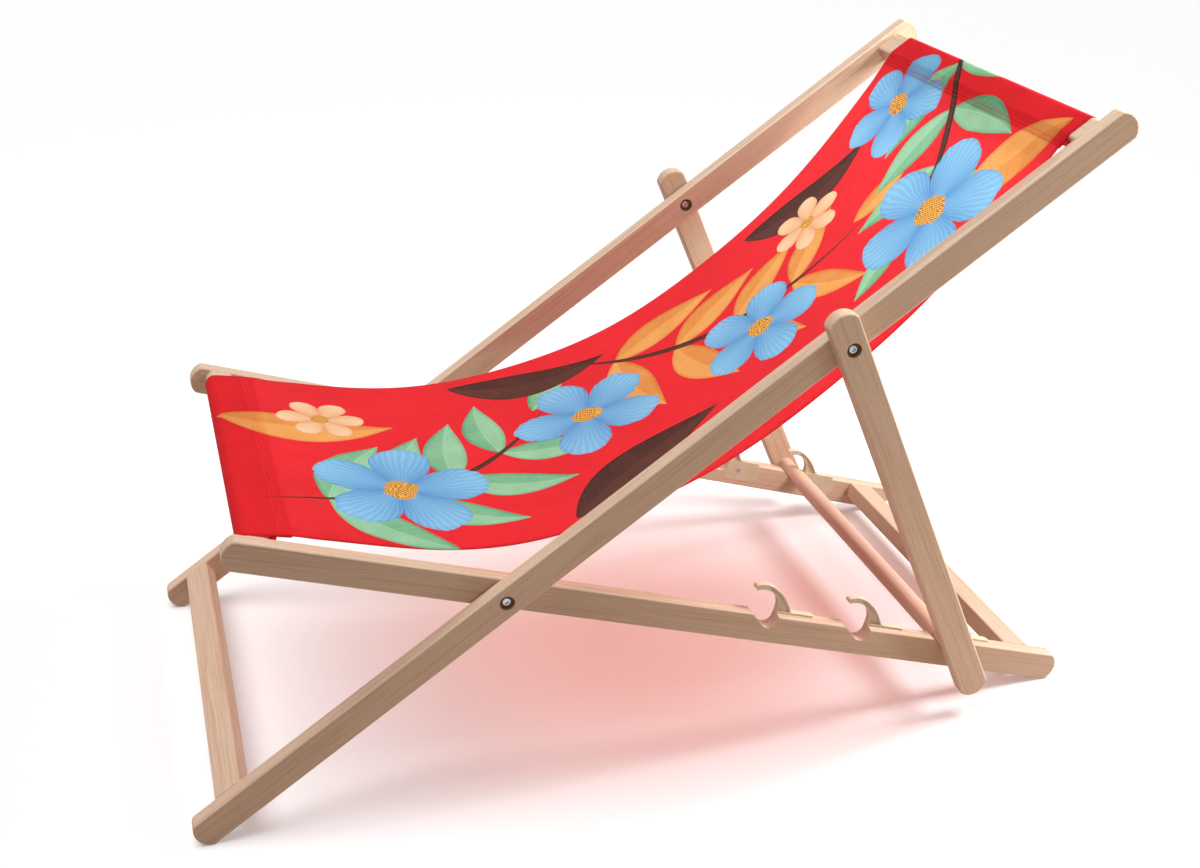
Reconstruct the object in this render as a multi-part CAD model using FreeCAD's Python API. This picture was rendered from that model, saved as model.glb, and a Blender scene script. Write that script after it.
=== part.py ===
"""Folding beech deck chair with a hanging canvas sling, in the most reclined of its three settings.

Frame: millimetres, +Z up, the chair faces -Y, its width runs along X.
The sitter's left is +X. The origin is on the floor under the middle of the chair.
Each rail is drawn along Y with its pivot at the origin, then turned about the X axis into place.
"""
import FreeCAD
import Part
import math
import os

V = FreeCAD.Vector

# Rails and struts: planed beech with rounded edges and arched ends
RAIL_HEIGHT = 36.0
RAIL_THICKNESS = 20.0
RAIL_EDGE_ROUND = 2.5
RAIL_CORNER_ROUND = 5.0
RAIL_END_EASE = 3.0          # how much larger the end arch's radius is than half the height
FOOT_WEAR = 0.5              # depth of the worn flats on the floor ends

# Frame widths and lengths
SEAT_INSIDE_WIDTH = 472.0    # between the seat rails' inner faces
RAIL_GAP = 2.0               # between neighbouring rails, filled by the pivot washers
PIVOT_TO_SEAT_FRONT = 313.0
PIVOT_TO_SEAT_REAR = 754.0
PIVOT_TO_BACK_FOOT = 434.0
PIVOT_TO_BACK_TOP = 866.0

# Prop frame
PIVOT_TO_PROP = 468.0        # main pivot to prop pivot, along the back rail
PROP_REACH = 465.5           # prop pivot to dowel axis
STRUT_ABOVE_PIVOT = 45.0
STRUT_BELOW_DOWEL = 50.5
DOWEL_DIAMETER = 24.0
DOWEL_END_DIAMETER = 21.0
DOWEL_SHOULDER_GAP = 4.0     # from the thick part's shoulder to the seat rail
DOWEL_SOCKET_DEPTH = 14.0
DOWEL_EDGE = 1.0

# Notches in the seat rails
PIVOT_TO_REAR_NOTCH = 588.0
NOTCH_SPACING = 127.0
NOTCH_NAMES = ("rear", "middle", "front")
NOTCH_DEPTH = 16.5
NOTCH_CLEARANCE = 0.3
NOTCH_RAMP_ANGLE = 37.0

# Flat cross bars with stub tenons
BAR_WIDTH = 36.0
BAR_THICKNESS = 22.0
BAR_EDGE_ROUND = 4.0
REAR_BAR_EDGE_ROUND = 2.0    # crisper, as no cloth runs over it
FRONT_BAR_NOSE_FLAT = 2.0    # left between the front bar's fully rounded edges
TENON_LENGTH = 14.0
TENON_WIDTH = 24.0
TENON_THICKNESS = 12.0
TENON_ROUND = 3.0
TENON_CLEARANCE = 0.1
PIVOT_TO_FRONT_BAR = 277.0
PIVOT_TO_REAR_BAR = 698.0
PIVOT_TO_TOP_BAR = 823.0
PIVOT_TO_FLOOR_BAR = 376.5
FRONT_BAR_SETBACK = 1.0      # from the seat rails' upper edge to the front bar's face
REAR_BAR_SETBACK = 0.5       # from the seat rails' upper edge to the rear bar's face
FLOOR_BAR_SETBACK = 0.5      # from the back rails' upper edge to the floor bar's face

# Pivot hardware: a cap bolt in a sleeve nut, heads sunk in counterbores, a washer between the rails
BOLT_HEAD_DIAMETER = 11.0
BOLT_HEAD_HEIGHT = 3.4
BOLT_HEAD_DOME = 2.4
BOLT_DIAMETER = 5.6
BOLT_SOCKET = 5.0            # across flats
BOLT_SOCKET_DEPTH = 2.0
SLEEVE_DIAMETER = 8.0
SLEEVE_BORE_CLEARANCE = 0.2
SLEEVE_END_GAP = 1.0
BOLT_ENGAGEMENT = 22.0
PIVOT_BORE_CLEARANCE = 0.2
COUNTERBORE_DIAMETER = 17.0
COUNTERBORE_DEPTH = 6.0
WASHER_DIAMETER = 24.0
WASHER_PLAY = 0.1

# Moulded hooks over the notches, measured from the dowel axis of each notch
HOOK_WIDTH = 9.0
HOOK_INNER_RADIUS = 23.5
HOOK_RISE = 10.0             # centre of the hook's curl above the dowel axis
HOOK_ARM = 6.2               # thickness of the arm from its tip to its shoulder
HOOK_TIP_ANGLE = 112.5
HOOK_SHOULDER_ANGLE = 64.0   # from here the arm widens towards its heel
HOOK_HEEL_REACH = 28.0       # rear of the arm behind the dowel axis
HOOK_HEEL_RISE = 3.5         # above the base flange
HOOK_RIM = 1.6
HOOK_POCKET_ANGLE = 74.0     # where the hollow between the rims ends
HOOK_POCKET_DEPTH = 2.4
FLANGE_REACH = 62.0          # rear of the base flange behind the dowel axis
FLANGE_THICKNESS = 2.5
FLANGE_WIDTH = 10.0
PLATE_THICKNESS = 4.0
PLATE_REACH = 67.0
PLATE_DROP = 27.0            # below the rail's upper edge
PLATE_SETBACK = 1.0          # of the plate's front edge behind the dowel end
PLATE_SIDE_GAP = 0.15
SCREW_BEHIND_DOWEL = 30.0
SCREW_BELOW_EDGE = 13.0
SCREW_HEAD_DIAMETER = 8.0
SCREW_HEAD_HEIGHT = 2.6
SCREW_DIAMETER = 3.6
SCREW_LENGTH = 15.0
SCREW_CROSS = 4.0
SCREW_CROSS_WIDTH = 1.0
SCREW_CROSS_DEPTH = 1.4

# Sling
SLING_WIDTH = 452.0
SLING_THICKNESS = 1.2
SLING_SLACK = 81.0           # cloth between the bars, over the straight distance
SLING_CLEARANCE = 0.3
SLING_SEAM = 16.0            # hem end sewn flat under the sling
SLING_SPANS = 6
BISECTIONS = 60

HALF_HEIGHT = RAIL_HEIGHT / 2
END_RADIUS = HALF_HEIGHT + RAIL_END_EASE
END_SAGITTA = END_RADIUS - math.sqrt(END_RADIUS**2 - HALF_HEIGHT**2)
DOWEL_END_RADIUS = DOWEL_END_DIAMETER / 2
NOTCH_RADIUS = DOWEL_END_RADIUS + NOTCH_CLEARANCE
DOWEL_RISE = HALF_HEIGHT - NOTCH_DEPTH + NOTCH_RADIUS     # dowel axis above the rail's centre line
SEAT_IN = SEAT_INSIDE_WIDTH / 2
SEAT_OUT = SEAT_IN + RAIL_THICKNESS
BACK_IN = SEAT_OUT + RAIL_GAP
BACK_OUT = BACK_IN + RAIL_THICKNESS
STRUT_IN = BACK_OUT + RAIL_GAP
STRUT_OUT = STRUT_IN + RAIL_THICKNESS
FRONT_BAR_RISE = HALF_HEIGHT - FRONT_BAR_SETBACK - BAR_THICKNESS / 2
FRONT_BAR_ROUND = (BAR_THICKNESS - FRONT_BAR_NOSE_FLAT) / 2
REAR_BAR_RISE = HALF_HEIGHT - REAR_BAR_SETBACK - BAR_THICKNESS / 2
FLOOR_BAR_RISE = HALF_HEIGHT - FLOOR_BAR_SETBACK - BAR_THICKNESS / 2
WRAP_OFFSET = SLING_CLEARANCE + SLING_THICKNESS / 2
SEAM_RADIUS = SLING_THICKNESS
NOTCHES = {name: PIVOT_TO_REAR_NOTCH - i * NOTCH_SPACING for i, name in enumerate(NOTCH_NAMES)}


def turn(angle, s, n):
    """Y and Z of a point s along and n above a rail that is turned by this angle."""
    return s * math.cos(angle) - n * math.sin(angle), s * math.sin(angle) + n * math.cos(angle)


def bisect(error, low, high):
    """The root of a function that changes sign between low and high."""
    sign = error(low) > 0
    for _ in range(BISECTIONS):
        middle = (low + high) / 2
        if (error(middle) > 0) == sign:
            low = middle
        else:
            high = middle
    return (low + high) / 2


def lowest_of_end(angle, tip, sense):
    """Height of the lowest point of a rail's arched end, below its pivot."""
    corner_s = tip - sense * END_SAGITTA
    corners = [turn(angle, corner_s, n)[1] for n in (-HALF_HEIGHT, HALF_HEIGHT)]
    centre = turn(angle, tip - sense * END_RADIUS, 0)
    along_tip = turn(angle, sense, 0)
    reach = math.degrees(math.acos(max(-1.0, min(1.0, -along_tip[1]))))
    half_span = math.degrees(math.asin(HALF_HEIGHT / END_RADIUS))
    if reach < half_span:
        corners.append(centre[1] - END_RADIUS)
    return min(corners)


# The angle between the frames follows from the triangle of main pivot, prop pivot and dowel
dowel_from_pivot = math.hypot(PIVOT_TO_REAR_NOTCH, DOWEL_RISE)
pivot_corner = math.acos((PIVOT_TO_PROP**2 + dowel_from_pivot**2 - PROP_REACH**2)
                         / (2 * PIVOT_TO_PROP * dowel_from_pivot))
OPENING_ANGLE = pivot_corner + math.atan2(DOWEL_RISE, PIVOT_TO_REAR_NOTCH)


def foot_difference(seat_angle):
    """How far the back frame's floor ends lie above the seat frame's."""
    return (lowest_of_end(seat_angle + OPENING_ANGLE, -PIVOT_TO_BACK_FOOT, -1)
            - lowest_of_end(seat_angle, PIVOT_TO_SEAT_REAR, 1))


SEAT_ANGLE = bisect(foot_difference, -OPENING_ANGLE, 0.0)
BACK_ANGLE = SEAT_ANGLE + OPENING_ANGLE
FLOOR = lowest_of_end(SEAT_ANGLE, PIVOT_TO_SEAT_REAR, 1) + FOOT_WEAR
PROP_PIVOT = turn(BACK_ANGLE, PIVOT_TO_PROP, 0)
DOWEL_AXIS = turn(SEAT_ANGLE, PIVOT_TO_REAR_NOTCH, DOWEL_RISE)
PROP_ANGLE = math.atan2(DOWEL_AXIS[1] - PROP_PIVOT[1], DOWEL_AXIS[0] - PROP_PIVOT[0])


def placed(shape, angle, base=(0.0, 0.0)):
    """A copy turned about X through the origin and moved to base in Y and Z."""
    copy = shape.copy()
    copy.rotate(V(0, 0, 0), V(1, 0, 0), math.degrees(angle))
    copy.translate(V(0, base[0], base[1]))
    return copy


def mirrored(shape):
    return shape.mirror(V(0, 0, 0), V(1, 0, 0))


def profile_solid(edges, x, width):
    """A closed outline of edges in the plane X = 0, made solid from x over width along X."""
    face = Part.Face(Part.Wire(Part.__sortEdges__(edges)))
    solid = face.extrude(V(width, 0, 0))
    solid.translate(V(x, 0, 0))
    return solid


def at(s, n):
    return V(0, s, n)


def line(a, b):
    return Part.LineSegment(a, b).toShape()


def arc(a, middle, b):
    return Part.Arc(a, middle, b).toShape()


def rod(x0, x1, radius, s=0.0, n=0.0):
    """A round rod along X between x0 and x1."""
    return Part.makeCylinder(radius, abs(x1 - x0), V(min(x0, x1), s, n), V(1, 0, 0))


def edges_along_x(shape):
    return [e for e in shape.Edges if len(e.Vertexes) == 2
            and abs(e.Vertexes[0].Y - e.Vertexes[1].Y) < 1e-6
            and abs(e.Vertexes[0].Z - e.Vertexes[1].Z) < 1e-6]


def edges_at_x(shape, planes):
    return [e for e in shape.Edges
            if any(all(abs(v.X - x) < 1e-6 for v in e.Vertexes) for x in planes)]


def rail(back, fore, x):
    """A rail from -back to +fore along Y, with arched ends and rounded edges, from x outwards."""
    left = -back + END_SAGITTA
    right = fore - END_SAGITTA
    edges = [line(at(left, -HALF_HEIGHT), at(right, -HALF_HEIGHT)),
             arc(at(right, -HALF_HEIGHT), at(fore, 0), at(right, HALF_HEIGHT)),
             line(at(right, HALF_HEIGHT), at(left, HALF_HEIGHT)),
             arc(at(left, HALF_HEIGHT), at(-back, 0), at(left, -HALF_HEIGHT))]
    solid = profile_solid(edges, x, RAIL_THICKNESS)
    solid = solid.makeFillet(RAIL_CORNER_ROUND, edges_along_x(solid))
    return solid.makeFillet(RAIL_EDGE_ROUND, edges_at_x(solid, (x, x + RAIL_THICKNESS)))


def pivot_hole(x, head_at_outer, s=0.0):
    """Bore and counterbore for a pivot through a rail that starts at x."""
    bore = rod(x - 1, x + RAIL_THICKNESS + 1, (SLEEVE_DIAMETER + PIVOT_BORE_CLEARANCE) / 2, s)
    if head_at_outer:
        sink = rod(x + RAIL_THICKNESS - COUNTERBORE_DEPTH, x + RAIL_THICKNESS + 1, COUNTERBORE_DIAMETER / 2, s)
    else:
        sink = rod(x - 1, x + COUNTERBORE_DEPTH, COUNTERBORE_DIAMETER / 2, s)
    return bore.fuse(sink)


def block(x0, x1, s, n, width, thickness, edge_round):
    """A bar of width along the rail and thickness across it, with its long edges rounded."""
    box = Part.makeBox(x1 - x0, width, thickness, V(x0, s - width / 2, n - thickness / 2))
    return box.makeFillet(edge_round, edges_along_x(box))


class CrossBar:
    """A flat bar between two rails, s along and n above them, with a stub tenon at each end."""

    def __init__(self, angle, inside, s, n, edge_round):
        self.angle = angle
        self.inside = inside
        self.s = s
        self.n = n
        self.edge_round = edge_round
        self.flat = BAR_WIDTH - 2 * edge_round
        self.side = BAR_THICKNESS - 2 * edge_round
        self.wrap = edge_round + WRAP_OFFSET     # radius of the cloth's middle round an edge

    def solid(self):
        bar = block(-self.inside, self.inside, self.s, self.n, BAR_WIDTH, BAR_THICKNESS, self.edge_round)
        reach = self.inside + TENON_LENGTH
        tenons = block(-reach, reach, self.s, self.n, TENON_WIDTH, TENON_THICKNESS, TENON_ROUND)
        return placed(bar.fuse(tenons).removeSplitter(), self.angle)

    def mortise(self):
        """The socket for the tenon in the left rail, before that rail is turned."""
        play = 2 * TENON_CLEARANCE
        end = self.inside + TENON_LENGTH + TENON_CLEARANCE
        return block(self.inside - 1, end, self.s, self.n, TENON_WIDTH + play, TENON_THICKNESS + play,
                     TENON_ROUND + TENON_CLEARANCE)

    def edge_centre(self, towards):
        """Centre of the rounding of the upper edge on the side that the sling leaves from."""
        return turn(self.angle, self.s + towards * self.flat / 2, self.n + self.side / 2)

    def leaving_point(self, towards, heading):
        """Where the cloth with this heading leaves that rounding."""
        centre = self.edge_centre(towards)
        return centre[0] - self.wrap * math.sin(heading), centre[1] + self.wrap * math.cos(heading)

    def hem_rise(self, dip):
        """Where a hem turns under the sling, above the edge's centre; dip is the sling's angle to the bar."""
        inside = self.wrap - SLING_THICKNESS - SLING_CLEARANCE
        return (inside - SEAM_RADIUS - math.sin(dip) * (self.wrap + SEAM_RADIUS)) / math.cos(dip)

    def wrap_with(self, path):
        """Carry the cloth over one face of the bar, round its far side and back along the other face."""
        quarter = math.pi / 2
        path.straight(self.flat)
        path.bend(self.wrap, -quarter)
        path.straight(self.side)
        path.bend(self.wrap, -quarter)
        path.straight(self.flat)


FRONT_BAR = CrossBar(SEAT_ANGLE, SEAT_IN, -PIVOT_TO_FRONT_BAR, FRONT_BAR_RISE, FRONT_BAR_ROUND)
REAR_BAR = CrossBar(SEAT_ANGLE, SEAT_IN, PIVOT_TO_REAR_BAR, REAR_BAR_RISE, REAR_BAR_EDGE_ROUND)
TOP_BAR = CrossBar(BACK_ANGLE, BACK_IN, PIVOT_TO_TOP_BAR, 0.0, BAR_EDGE_ROUND)
FLOOR_BAR = CrossBar(BACK_ANGLE, BACK_IN, -PIVOT_TO_FLOOR_BAR, FLOOR_BAR_RISE, BAR_EDGE_ROUND)


def notch_cut(s):
    """A notch with a straight ramp in front and a round seat for the dowel end."""
    ramp = math.radians(NOTCH_RAMP_ANGLE)
    over = RAIL_HEIGHT
    foot = at(s - NOTCH_RADIUS * math.sin(ramp), DOWEL_RISE - NOTCH_RADIUS * math.cos(ramp))
    run = (over - foot.z) / math.sin(ramp)
    top_front = at(foot.y - run * math.cos(ramp), over)
    rear = at(s + NOTCH_RADIUS, DOWEL_RISE)
    top_rear = at(s + NOTCH_RADIUS, over)
    edges = [line(top_front, foot),
             arc(foot, at(s, DOWEL_RISE - NOTCH_RADIUS), rear),
             line(rear, top_rear),
             line(top_rear, top_front)]
    return profile_solid(edges, SEAT_IN - 1, RAIL_THICKNESS + 2)


def plate_edges(s, grow):
    """Outline of a hook's inlaid plate, grown by a small gap: flat in front, arched behind."""
    front = s + DOWEL_END_RADIUS + PLATE_SETBACK - grow
    top = HALF_HEIGHT
    bottom = HALF_HEIGHT - PLATE_DROP - grow
    radius = (top - bottom) / 2
    middle = (top + bottom) / 2
    rear = s + PLATE_REACH + grow
    return [line(at(front, top), at(front, bottom)),
            line(at(front, bottom), at(rear - radius, bottom)),
            arc(at(rear - radius, bottom), at(rear, middle), at(rear - radius, top)),
            line(at(rear - radius, top), at(front, top))]


def on_circle(centre, radius, degrees):
    return at(centre[0] + radius * math.cos(math.radians(degrees)),
              centre[1] + radius * math.sin(math.radians(degrees)))


def tangent_arc(start, heading, end):
    """The arc that leaves start along a heading and reaches end, with its heading there."""
    chord = end - start
    half = math.atan2(chord.z, chord.y) - heading
    reach = chord.Length / (2 * math.cos(half / 2))
    middle = at(start.y + reach * math.cos(heading + half / 2), start.z + reach * math.sin(heading + half / 2))
    return arc(start, middle, end), heading + 2 * half


def hook_curl(s, inset, end_angle):
    """The curled part of a hook's outline, from its inner wall round its end to its heel."""
    centre = (s + NOTCH_RADIUS - HOOK_INNER_RADIUS, DOWEL_RISE + HOOK_RISE)
    inner = HOOK_INNER_RADIUS + inset
    outer = HOOK_INNER_RADIUS + HOOK_ARM - inset
    start = on_circle(centre, inner, 0)
    inner_end = on_circle(centre, inner, end_angle)
    outer_end = on_circle(centre, outer, end_angle)
    tip_radius = (outer - inner) / 2
    tip_middle = on_circle(centre, inner + tip_radius, end_angle)
    tip = on_circle((tip_middle.y, tip_middle.z), tip_radius, end_angle + 90)
    shoulder = on_circle(centre, outer, HOOK_SHOULDER_ANGLE)
    heading = math.radians(HOOK_SHOULDER_ANGLE - 90)
    full_shoulder = on_circle(centre, outer + inset, HOOK_SHOULDER_ANGLE)
    heel = at(s + HOOK_HEEL_REACH, HALF_HEIGHT + FLANGE_THICKNESS + HOOK_HEEL_RISE)
    end_heading = tangent_arc(full_shoulder, heading, heel)[1]
    heel = heel + at(inset * math.sin(end_heading), -inset * math.cos(end_heading))
    edges = [arc(start, on_circle(centre, inner, end_angle / 2), inner_end),
             arc(inner_end, tip, outer_end),
             arc(outer_end, on_circle(centre, outer, (end_angle + HOOK_SHOULDER_ANGLE) / 2), shoulder),
             tangent_arc(shoulder, heading, heel)[0]]
    return edges, start, heel, end_heading


def hook_arm(s):
    """The curled arm's outline, with a foot that runs out on the flange."""
    edges, start, heel, heading = hook_curl(s, 0.0, HOOK_TIP_ANGLE)
    radius = HOOK_HEEL_RISE / (1 - math.cos(heading))
    toe = at(heel.y - radius * math.sin(heading), heel.z - HOOK_HEEL_RISE)
    low_rear = at(toe.y, HALF_HEIGHT)
    low_front = at(start.y, HALF_HEIGHT)
    edges += [tangent_arc(heel, heading, toe)[0],
              line(toe, low_rear), line(low_rear, low_front), line(low_front, start)]
    return profile_solid(edges, SEAT_IN, HOOK_WIDTH)


def hook_pocket(s, x):
    """The hollow in one side of the arm, inside a raised rim."""
    edges, start, heel, heading = hook_curl(s, HOOK_RIM, HOOK_POCKET_ANGLE)
    floor = HALF_HEIGHT + FLANGE_THICKNESS
    run = (heel.z - floor) / math.tan(-heading)
    low_rear = at(heel.y + run, floor)
    low_front = at(start.y, floor)
    edges += [line(heel, low_rear), line(low_rear, low_front), line(low_front, start)]
    return profile_solid(edges, x, HOOK_POCKET_DEPTH)


def screw_axis(s):
    return s + SCREW_BEHIND_DOWEL, HALF_HEIGHT - SCREW_BELOW_EDGE


def screw_head_cone(s, x):
    """The countersunk head's cone, its wide face at x and its point outwards along X."""
    along, up = screw_axis(s)
    return Part.makeCone(SCREW_HEAD_DIAMETER / 2, SCREW_DIAMETER / 2, SCREW_HEAD_HEIGHT,
                         V(x, along, up), V(1, 0, 0))


def hook(s):
    """One moulded hook: inlaid plate, flange on the rail's edge and a ribbed curled arm."""
    plate = profile_solid(plate_edges(s, 0.0), SEAT_IN, PLATE_THICKNESS)
    front = s + NOTCH_RADIUS
    flange = Part.makeBox(FLANGE_WIDTH, s + FLANGE_REACH - front, FLANGE_THICKNESS,
                          V(SEAT_IN, front, HALF_HEIGHT))
    rear_edges = [e for e in flange.Edges if all(abs(v.Y - s - FLANGE_REACH) < 1e-6 for v in e.Vertexes)
                  and abs(e.Vertexes[0].X - e.Vertexes[1].X) < 1e-6]
    flange = flange.makeFillet(FLANGE_WIDTH / 3, rear_edges)
    arm = hook_arm(s)
    for x in (SEAT_IN, SEAT_IN + HOOK_WIDTH - HOOK_POCKET_DEPTH):
        arm = arm.cut(hook_pocket(s, x))
    along, up = screw_axis(s)
    hole = rod(SEAT_IN - 1, SEAT_IN + PLATE_THICKNESS + 1, SCREW_DIAMETER / 2, along, up)
    body = plate.fuse(flange).fuse(arm).removeSplitter()
    return body.cut(hole).cut(screw_head_cone(s, SEAT_IN))


def screw(s):
    """A countersunk cross-head screw through a hook's plate into the rail."""
    along, up = screw_axis(s)
    shank = rod(SEAT_IN, SEAT_IN + SCREW_LENGTH, SCREW_DIAMETER / 2, along, up)
    body = shank.fuse(screw_head_cone(s, SEAT_IN)).removeSplitter()
    for wide, high in ((SCREW_CROSS, SCREW_CROSS_WIDTH), (SCREW_CROSS_WIDTH, SCREW_CROSS)):
        body = body.cut(Part.makeBox(SCREW_CROSS_DEPTH, wide, high,
                                     V(SEAT_IN, along - wide / 2, up - high / 2)))
    return body


def seat_rail():
    """The left seat rail with its pivot, mortises, notches and hook seats."""
    body = rail(PIVOT_TO_SEAT_FRONT, PIVOT_TO_SEAT_REAR, SEAT_IN)
    body = body.cut(pivot_hole(SEAT_IN, head_at_outer=False))
    body = body.cut(FRONT_BAR.mortise()).cut(REAR_BAR.mortise())
    for s in NOTCHES.values():
        along, up = screw_axis(s)
        recess = profile_solid(plate_edges(s, PLATE_SIDE_GAP), SEAT_IN - 1, PLATE_THICKNESS + 1)
        pilot = rod(SEAT_IN, SEAT_IN + SCREW_LENGTH, SCREW_DIAMETER / 2, along, up)
        body = body.cut(notch_cut(s)).cut(recess).cut(pilot)
    return body


def back_rail():
    """The left back rail with its two pivots and its mortises."""
    body = rail(PIVOT_TO_BACK_FOOT, PIVOT_TO_BACK_TOP, BACK_IN)
    body = body.cut(pivot_hole(BACK_IN, head_at_outer=True))
    body = body.cut(pivot_hole(BACK_IN, head_at_outer=False, s=PIVOT_TO_PROP))
    return body.cut(TOP_BAR.mortise()).cut(FLOOR_BAR.mortise())


def strut():
    """The left prop strut, with its pivot at the origin and the dowel's socket along +Y."""
    body = rail(STRUT_ABOVE_PIVOT, PROP_REACH + STRUT_BELOW_DOWEL, STRUT_IN)
    body = body.cut(pivot_hole(STRUT_IN, head_at_outer=True))
    socket = rod(STRUT_IN - 1, STRUT_IN + DOWEL_SOCKET_DEPTH, DOWEL_END_RADIUS, PROP_REACH)
    return body.cut(socket)


def dowel():
    """The round prop bar along X: thick between the seat rails, thinner out to the struts."""
    end = STRUT_IN + DOWEL_SOCKET_DEPTH
    thick_end = SEAT_IN - DOWEL_SHOULDER_GAP
    thick = rod(-thick_end, thick_end, DOWEL_DIAMETER / 2)
    thick = thick.makeChamfer(DOWEL_EDGE, edges_at_x(thick, (-thick_end, thick_end)))
    return thick.fuse(rod(-end, end, DOWEL_END_RADIUS)).removeSplitter()


def domed_head(x_seat, outwards):
    """A low domed head whose flat side is at x_seat; outwards is +1 or -1 along X."""
    head = rod(x_seat, x_seat + outwards * BOLT_HEAD_HEIGHT, BOLT_HEAD_DIAMETER / 2)
    return head.makeFillet(BOLT_HEAD_DOME, edges_at_x(head, (x_seat + outwards * BOLT_HEAD_HEIGHT,)))


def hex_socket(x_face, inwards):
    """A hexagonal socket sunk into a head's face."""
    corner = BOLT_SOCKET / math.sqrt(3)
    points = [at(corner * math.cos(math.radians(60 * i)), corner * math.sin(math.radians(60 * i)))
              for i in range(7)]
    face = Part.Face(Part.makePolygon(points))
    solid = face.extrude(V(inwards * BOLT_SOCKET_DEPTH, 0, 0))
    solid.translate(V(x_face, 0, 0))
    return solid


def pivot_bolt(outer_face):
    """Cap bolt whose head is sunk below the outer rail's face."""
    seat = outer_face - COUNTERBORE_DEPTH
    shank = rod(seat, seat - BOLT_ENGAGEMENT, BOLT_DIAMETER / 2)
    body = domed_head(seat, 1).fuse(shank).removeSplitter()
    return body.cut(hex_socket(seat + BOLT_HEAD_HEIGHT, -1))


def pivot_nut(inner_face, outer_face):
    """Sleeve nut whose head is sunk in the inner rail's face and whose barrel is the pivot pin."""
    seat = inner_face + COUNTERBORE_DEPTH
    end = outer_face - COUNTERBORE_DEPTH - SLEEVE_END_GAP
    body = domed_head(seat, -1).fuse(rod(seat, end, SLEEVE_DIAMETER / 2)).removeSplitter()
    bolt_end = outer_face - COUNTERBORE_DEPTH - BOLT_ENGAGEMENT
    body = body.cut(rod(bolt_end - SLEEVE_END_GAP, end, BOLT_DIAMETER / 2 + SLEEVE_BORE_CLEARANCE / 2))
    return body.cut(hex_socket(seat - BOLT_HEAD_HEIGHT, 1))


def pivot_washer(x):
    """Flat washer in the gap between two rails that starts at x."""
    ring = rod(x + WASHER_PLAY, x + RAIL_GAP - WASHER_PLAY, WASHER_DIAMETER / 2)
    hole = rod(x, x + RAIL_GAP, (SLEEVE_DIAMETER + PIVOT_BORE_CLEARANCE) / 2)
    return ring.cut(hole)


class Path:
    """A smooth run of lines and arcs in the Y-Z plane, kept with both offset sides."""

    def __init__(self, start, heading):
        self.point = start
        self.heading = heading
        self.sides = {1: [], -1: []}
        self.first = {side: self.offset(side) for side in (1, -1)}
        self.length = 0.0

    def offset(self, side):
        half = side * SLING_THICKNESS / 2
        return at(self.point[0] - half * math.sin(self.heading), self.point[1] + half * math.cos(self.heading))

    def straight(self, distance):
        before = {side: self.offset(side) for side in (1, -1)}
        self.point = (self.point[0] + distance * math.cos(self.heading),
                      self.point[1] + distance * math.sin(self.heading))
        for side in (1, -1):
            self.sides[side].append(line(before[side], self.offset(side)))
        self.length += distance

    def bend(self, radius, angle):
        """Turn by angle, left if it is positive, on an arc of this radius."""
        sign = 1 if angle > 0 else -1
        centre = (self.point[0] - sign * radius * math.sin(self.heading),
                  self.point[1] + sign * radius * math.cos(self.heading))
        start_heading = self.heading
        stations = []
        for part in (0.0, 0.5, 1.0):
            self.heading = start_heading + part * angle
            self.point = (centre[0] + sign * radius * math.sin(self.heading),
                          centre[1] - sign * radius * math.cos(self.heading))
            stations.append({side: self.offset(side) for side in (1, -1)})
        for side in (1, -1):
            self.sides[side].append(arc(*[station[side] for station in stations]))
        self.length += radius * abs(angle)

    def biarc(self, end, end_heading):
        """Reach a point with a given heading on two arcs that meet smoothly."""
        start, t0 = self.point, (math.cos(self.heading), math.sin(self.heading))
        t1 = (math.cos(end_heading), math.sin(end_heading))
        v = (end[0] - start[0], end[1] - start[1])
        t = (t0[0] + t1[0], t0[1] + t1[1])
        vt = v[0] * t[0] + v[1] * t[1]
        dots = 2 * (1 - t0[0] * t1[0] - t0[1] * t1[1])
        reach = (-vt + math.sqrt(vt**2 + dots * (v[0]**2 + v[1]**2))) / dots
        meet = ((start[0] + end[0] + reach * (t0[0] - t1[0])) / 2,
                (start[1] + end[1] + reach * (t0[1] - t1[1])) / 2)
        for goal in (meet, end):
            chord = (goal[0] - self.point[0], goal[1] - self.point[1])
            half = math.atan2(chord[1], chord[0]) - self.heading
            half = math.atan2(math.sin(half), math.cos(half))
            self.bend(math.hypot(*chord) / (2 * abs(math.sin(half))), 2 * half)

    def solid(self, width):
        """The closed strip between both sides, centred on X = 0."""
        last = {side: self.offset(side) for side in (1, -1)}
        caps = [line(last[1], last[-1]), line(self.first[-1], self.first[1])]
        return profile_solid(self.sides[1] + self.sides[-1] + caps, -width / 2, width)


def catenary(a, b, length):
    """Scale, lowest point's Y and height of the hanging curve of this length through two points."""
    across, rise = b[0] - a[0], b[1] - a[1]
    want = math.sqrt(length**2 - rise**2)
    scale = bisect(lambda c: 2 * c * math.sinh(across / (2 * c)) - want, across / 20, across * 20)
    low = (a[0] + b[0]) / 2 - scale * math.asinh(rise / (2 * scale * math.sinh(across / (2 * scale))))
    return scale, low, a[1] - scale * math.cosh((a[0] - low) / scale)


def hanging_curve():
    """Start, end and curve of the sling between the bars, tangent to both wrapped edges."""
    headings = [SEAT_ANGLE, BACK_ANGLE]
    for _ in range(BISECTIONS):
        a = FRONT_BAR.leaving_point(1, headings[0])
        b = TOP_BAR.leaving_point(-1, headings[1])
        length = math.dist(a, b) + SLING_SLACK
        curve = catenary(a, b, length)
        headings = [math.atan(math.sinh((p[0] - curve[1]) / curve[0])) for p in (a, b)]
    return a, b, headings, curve, length


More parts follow.
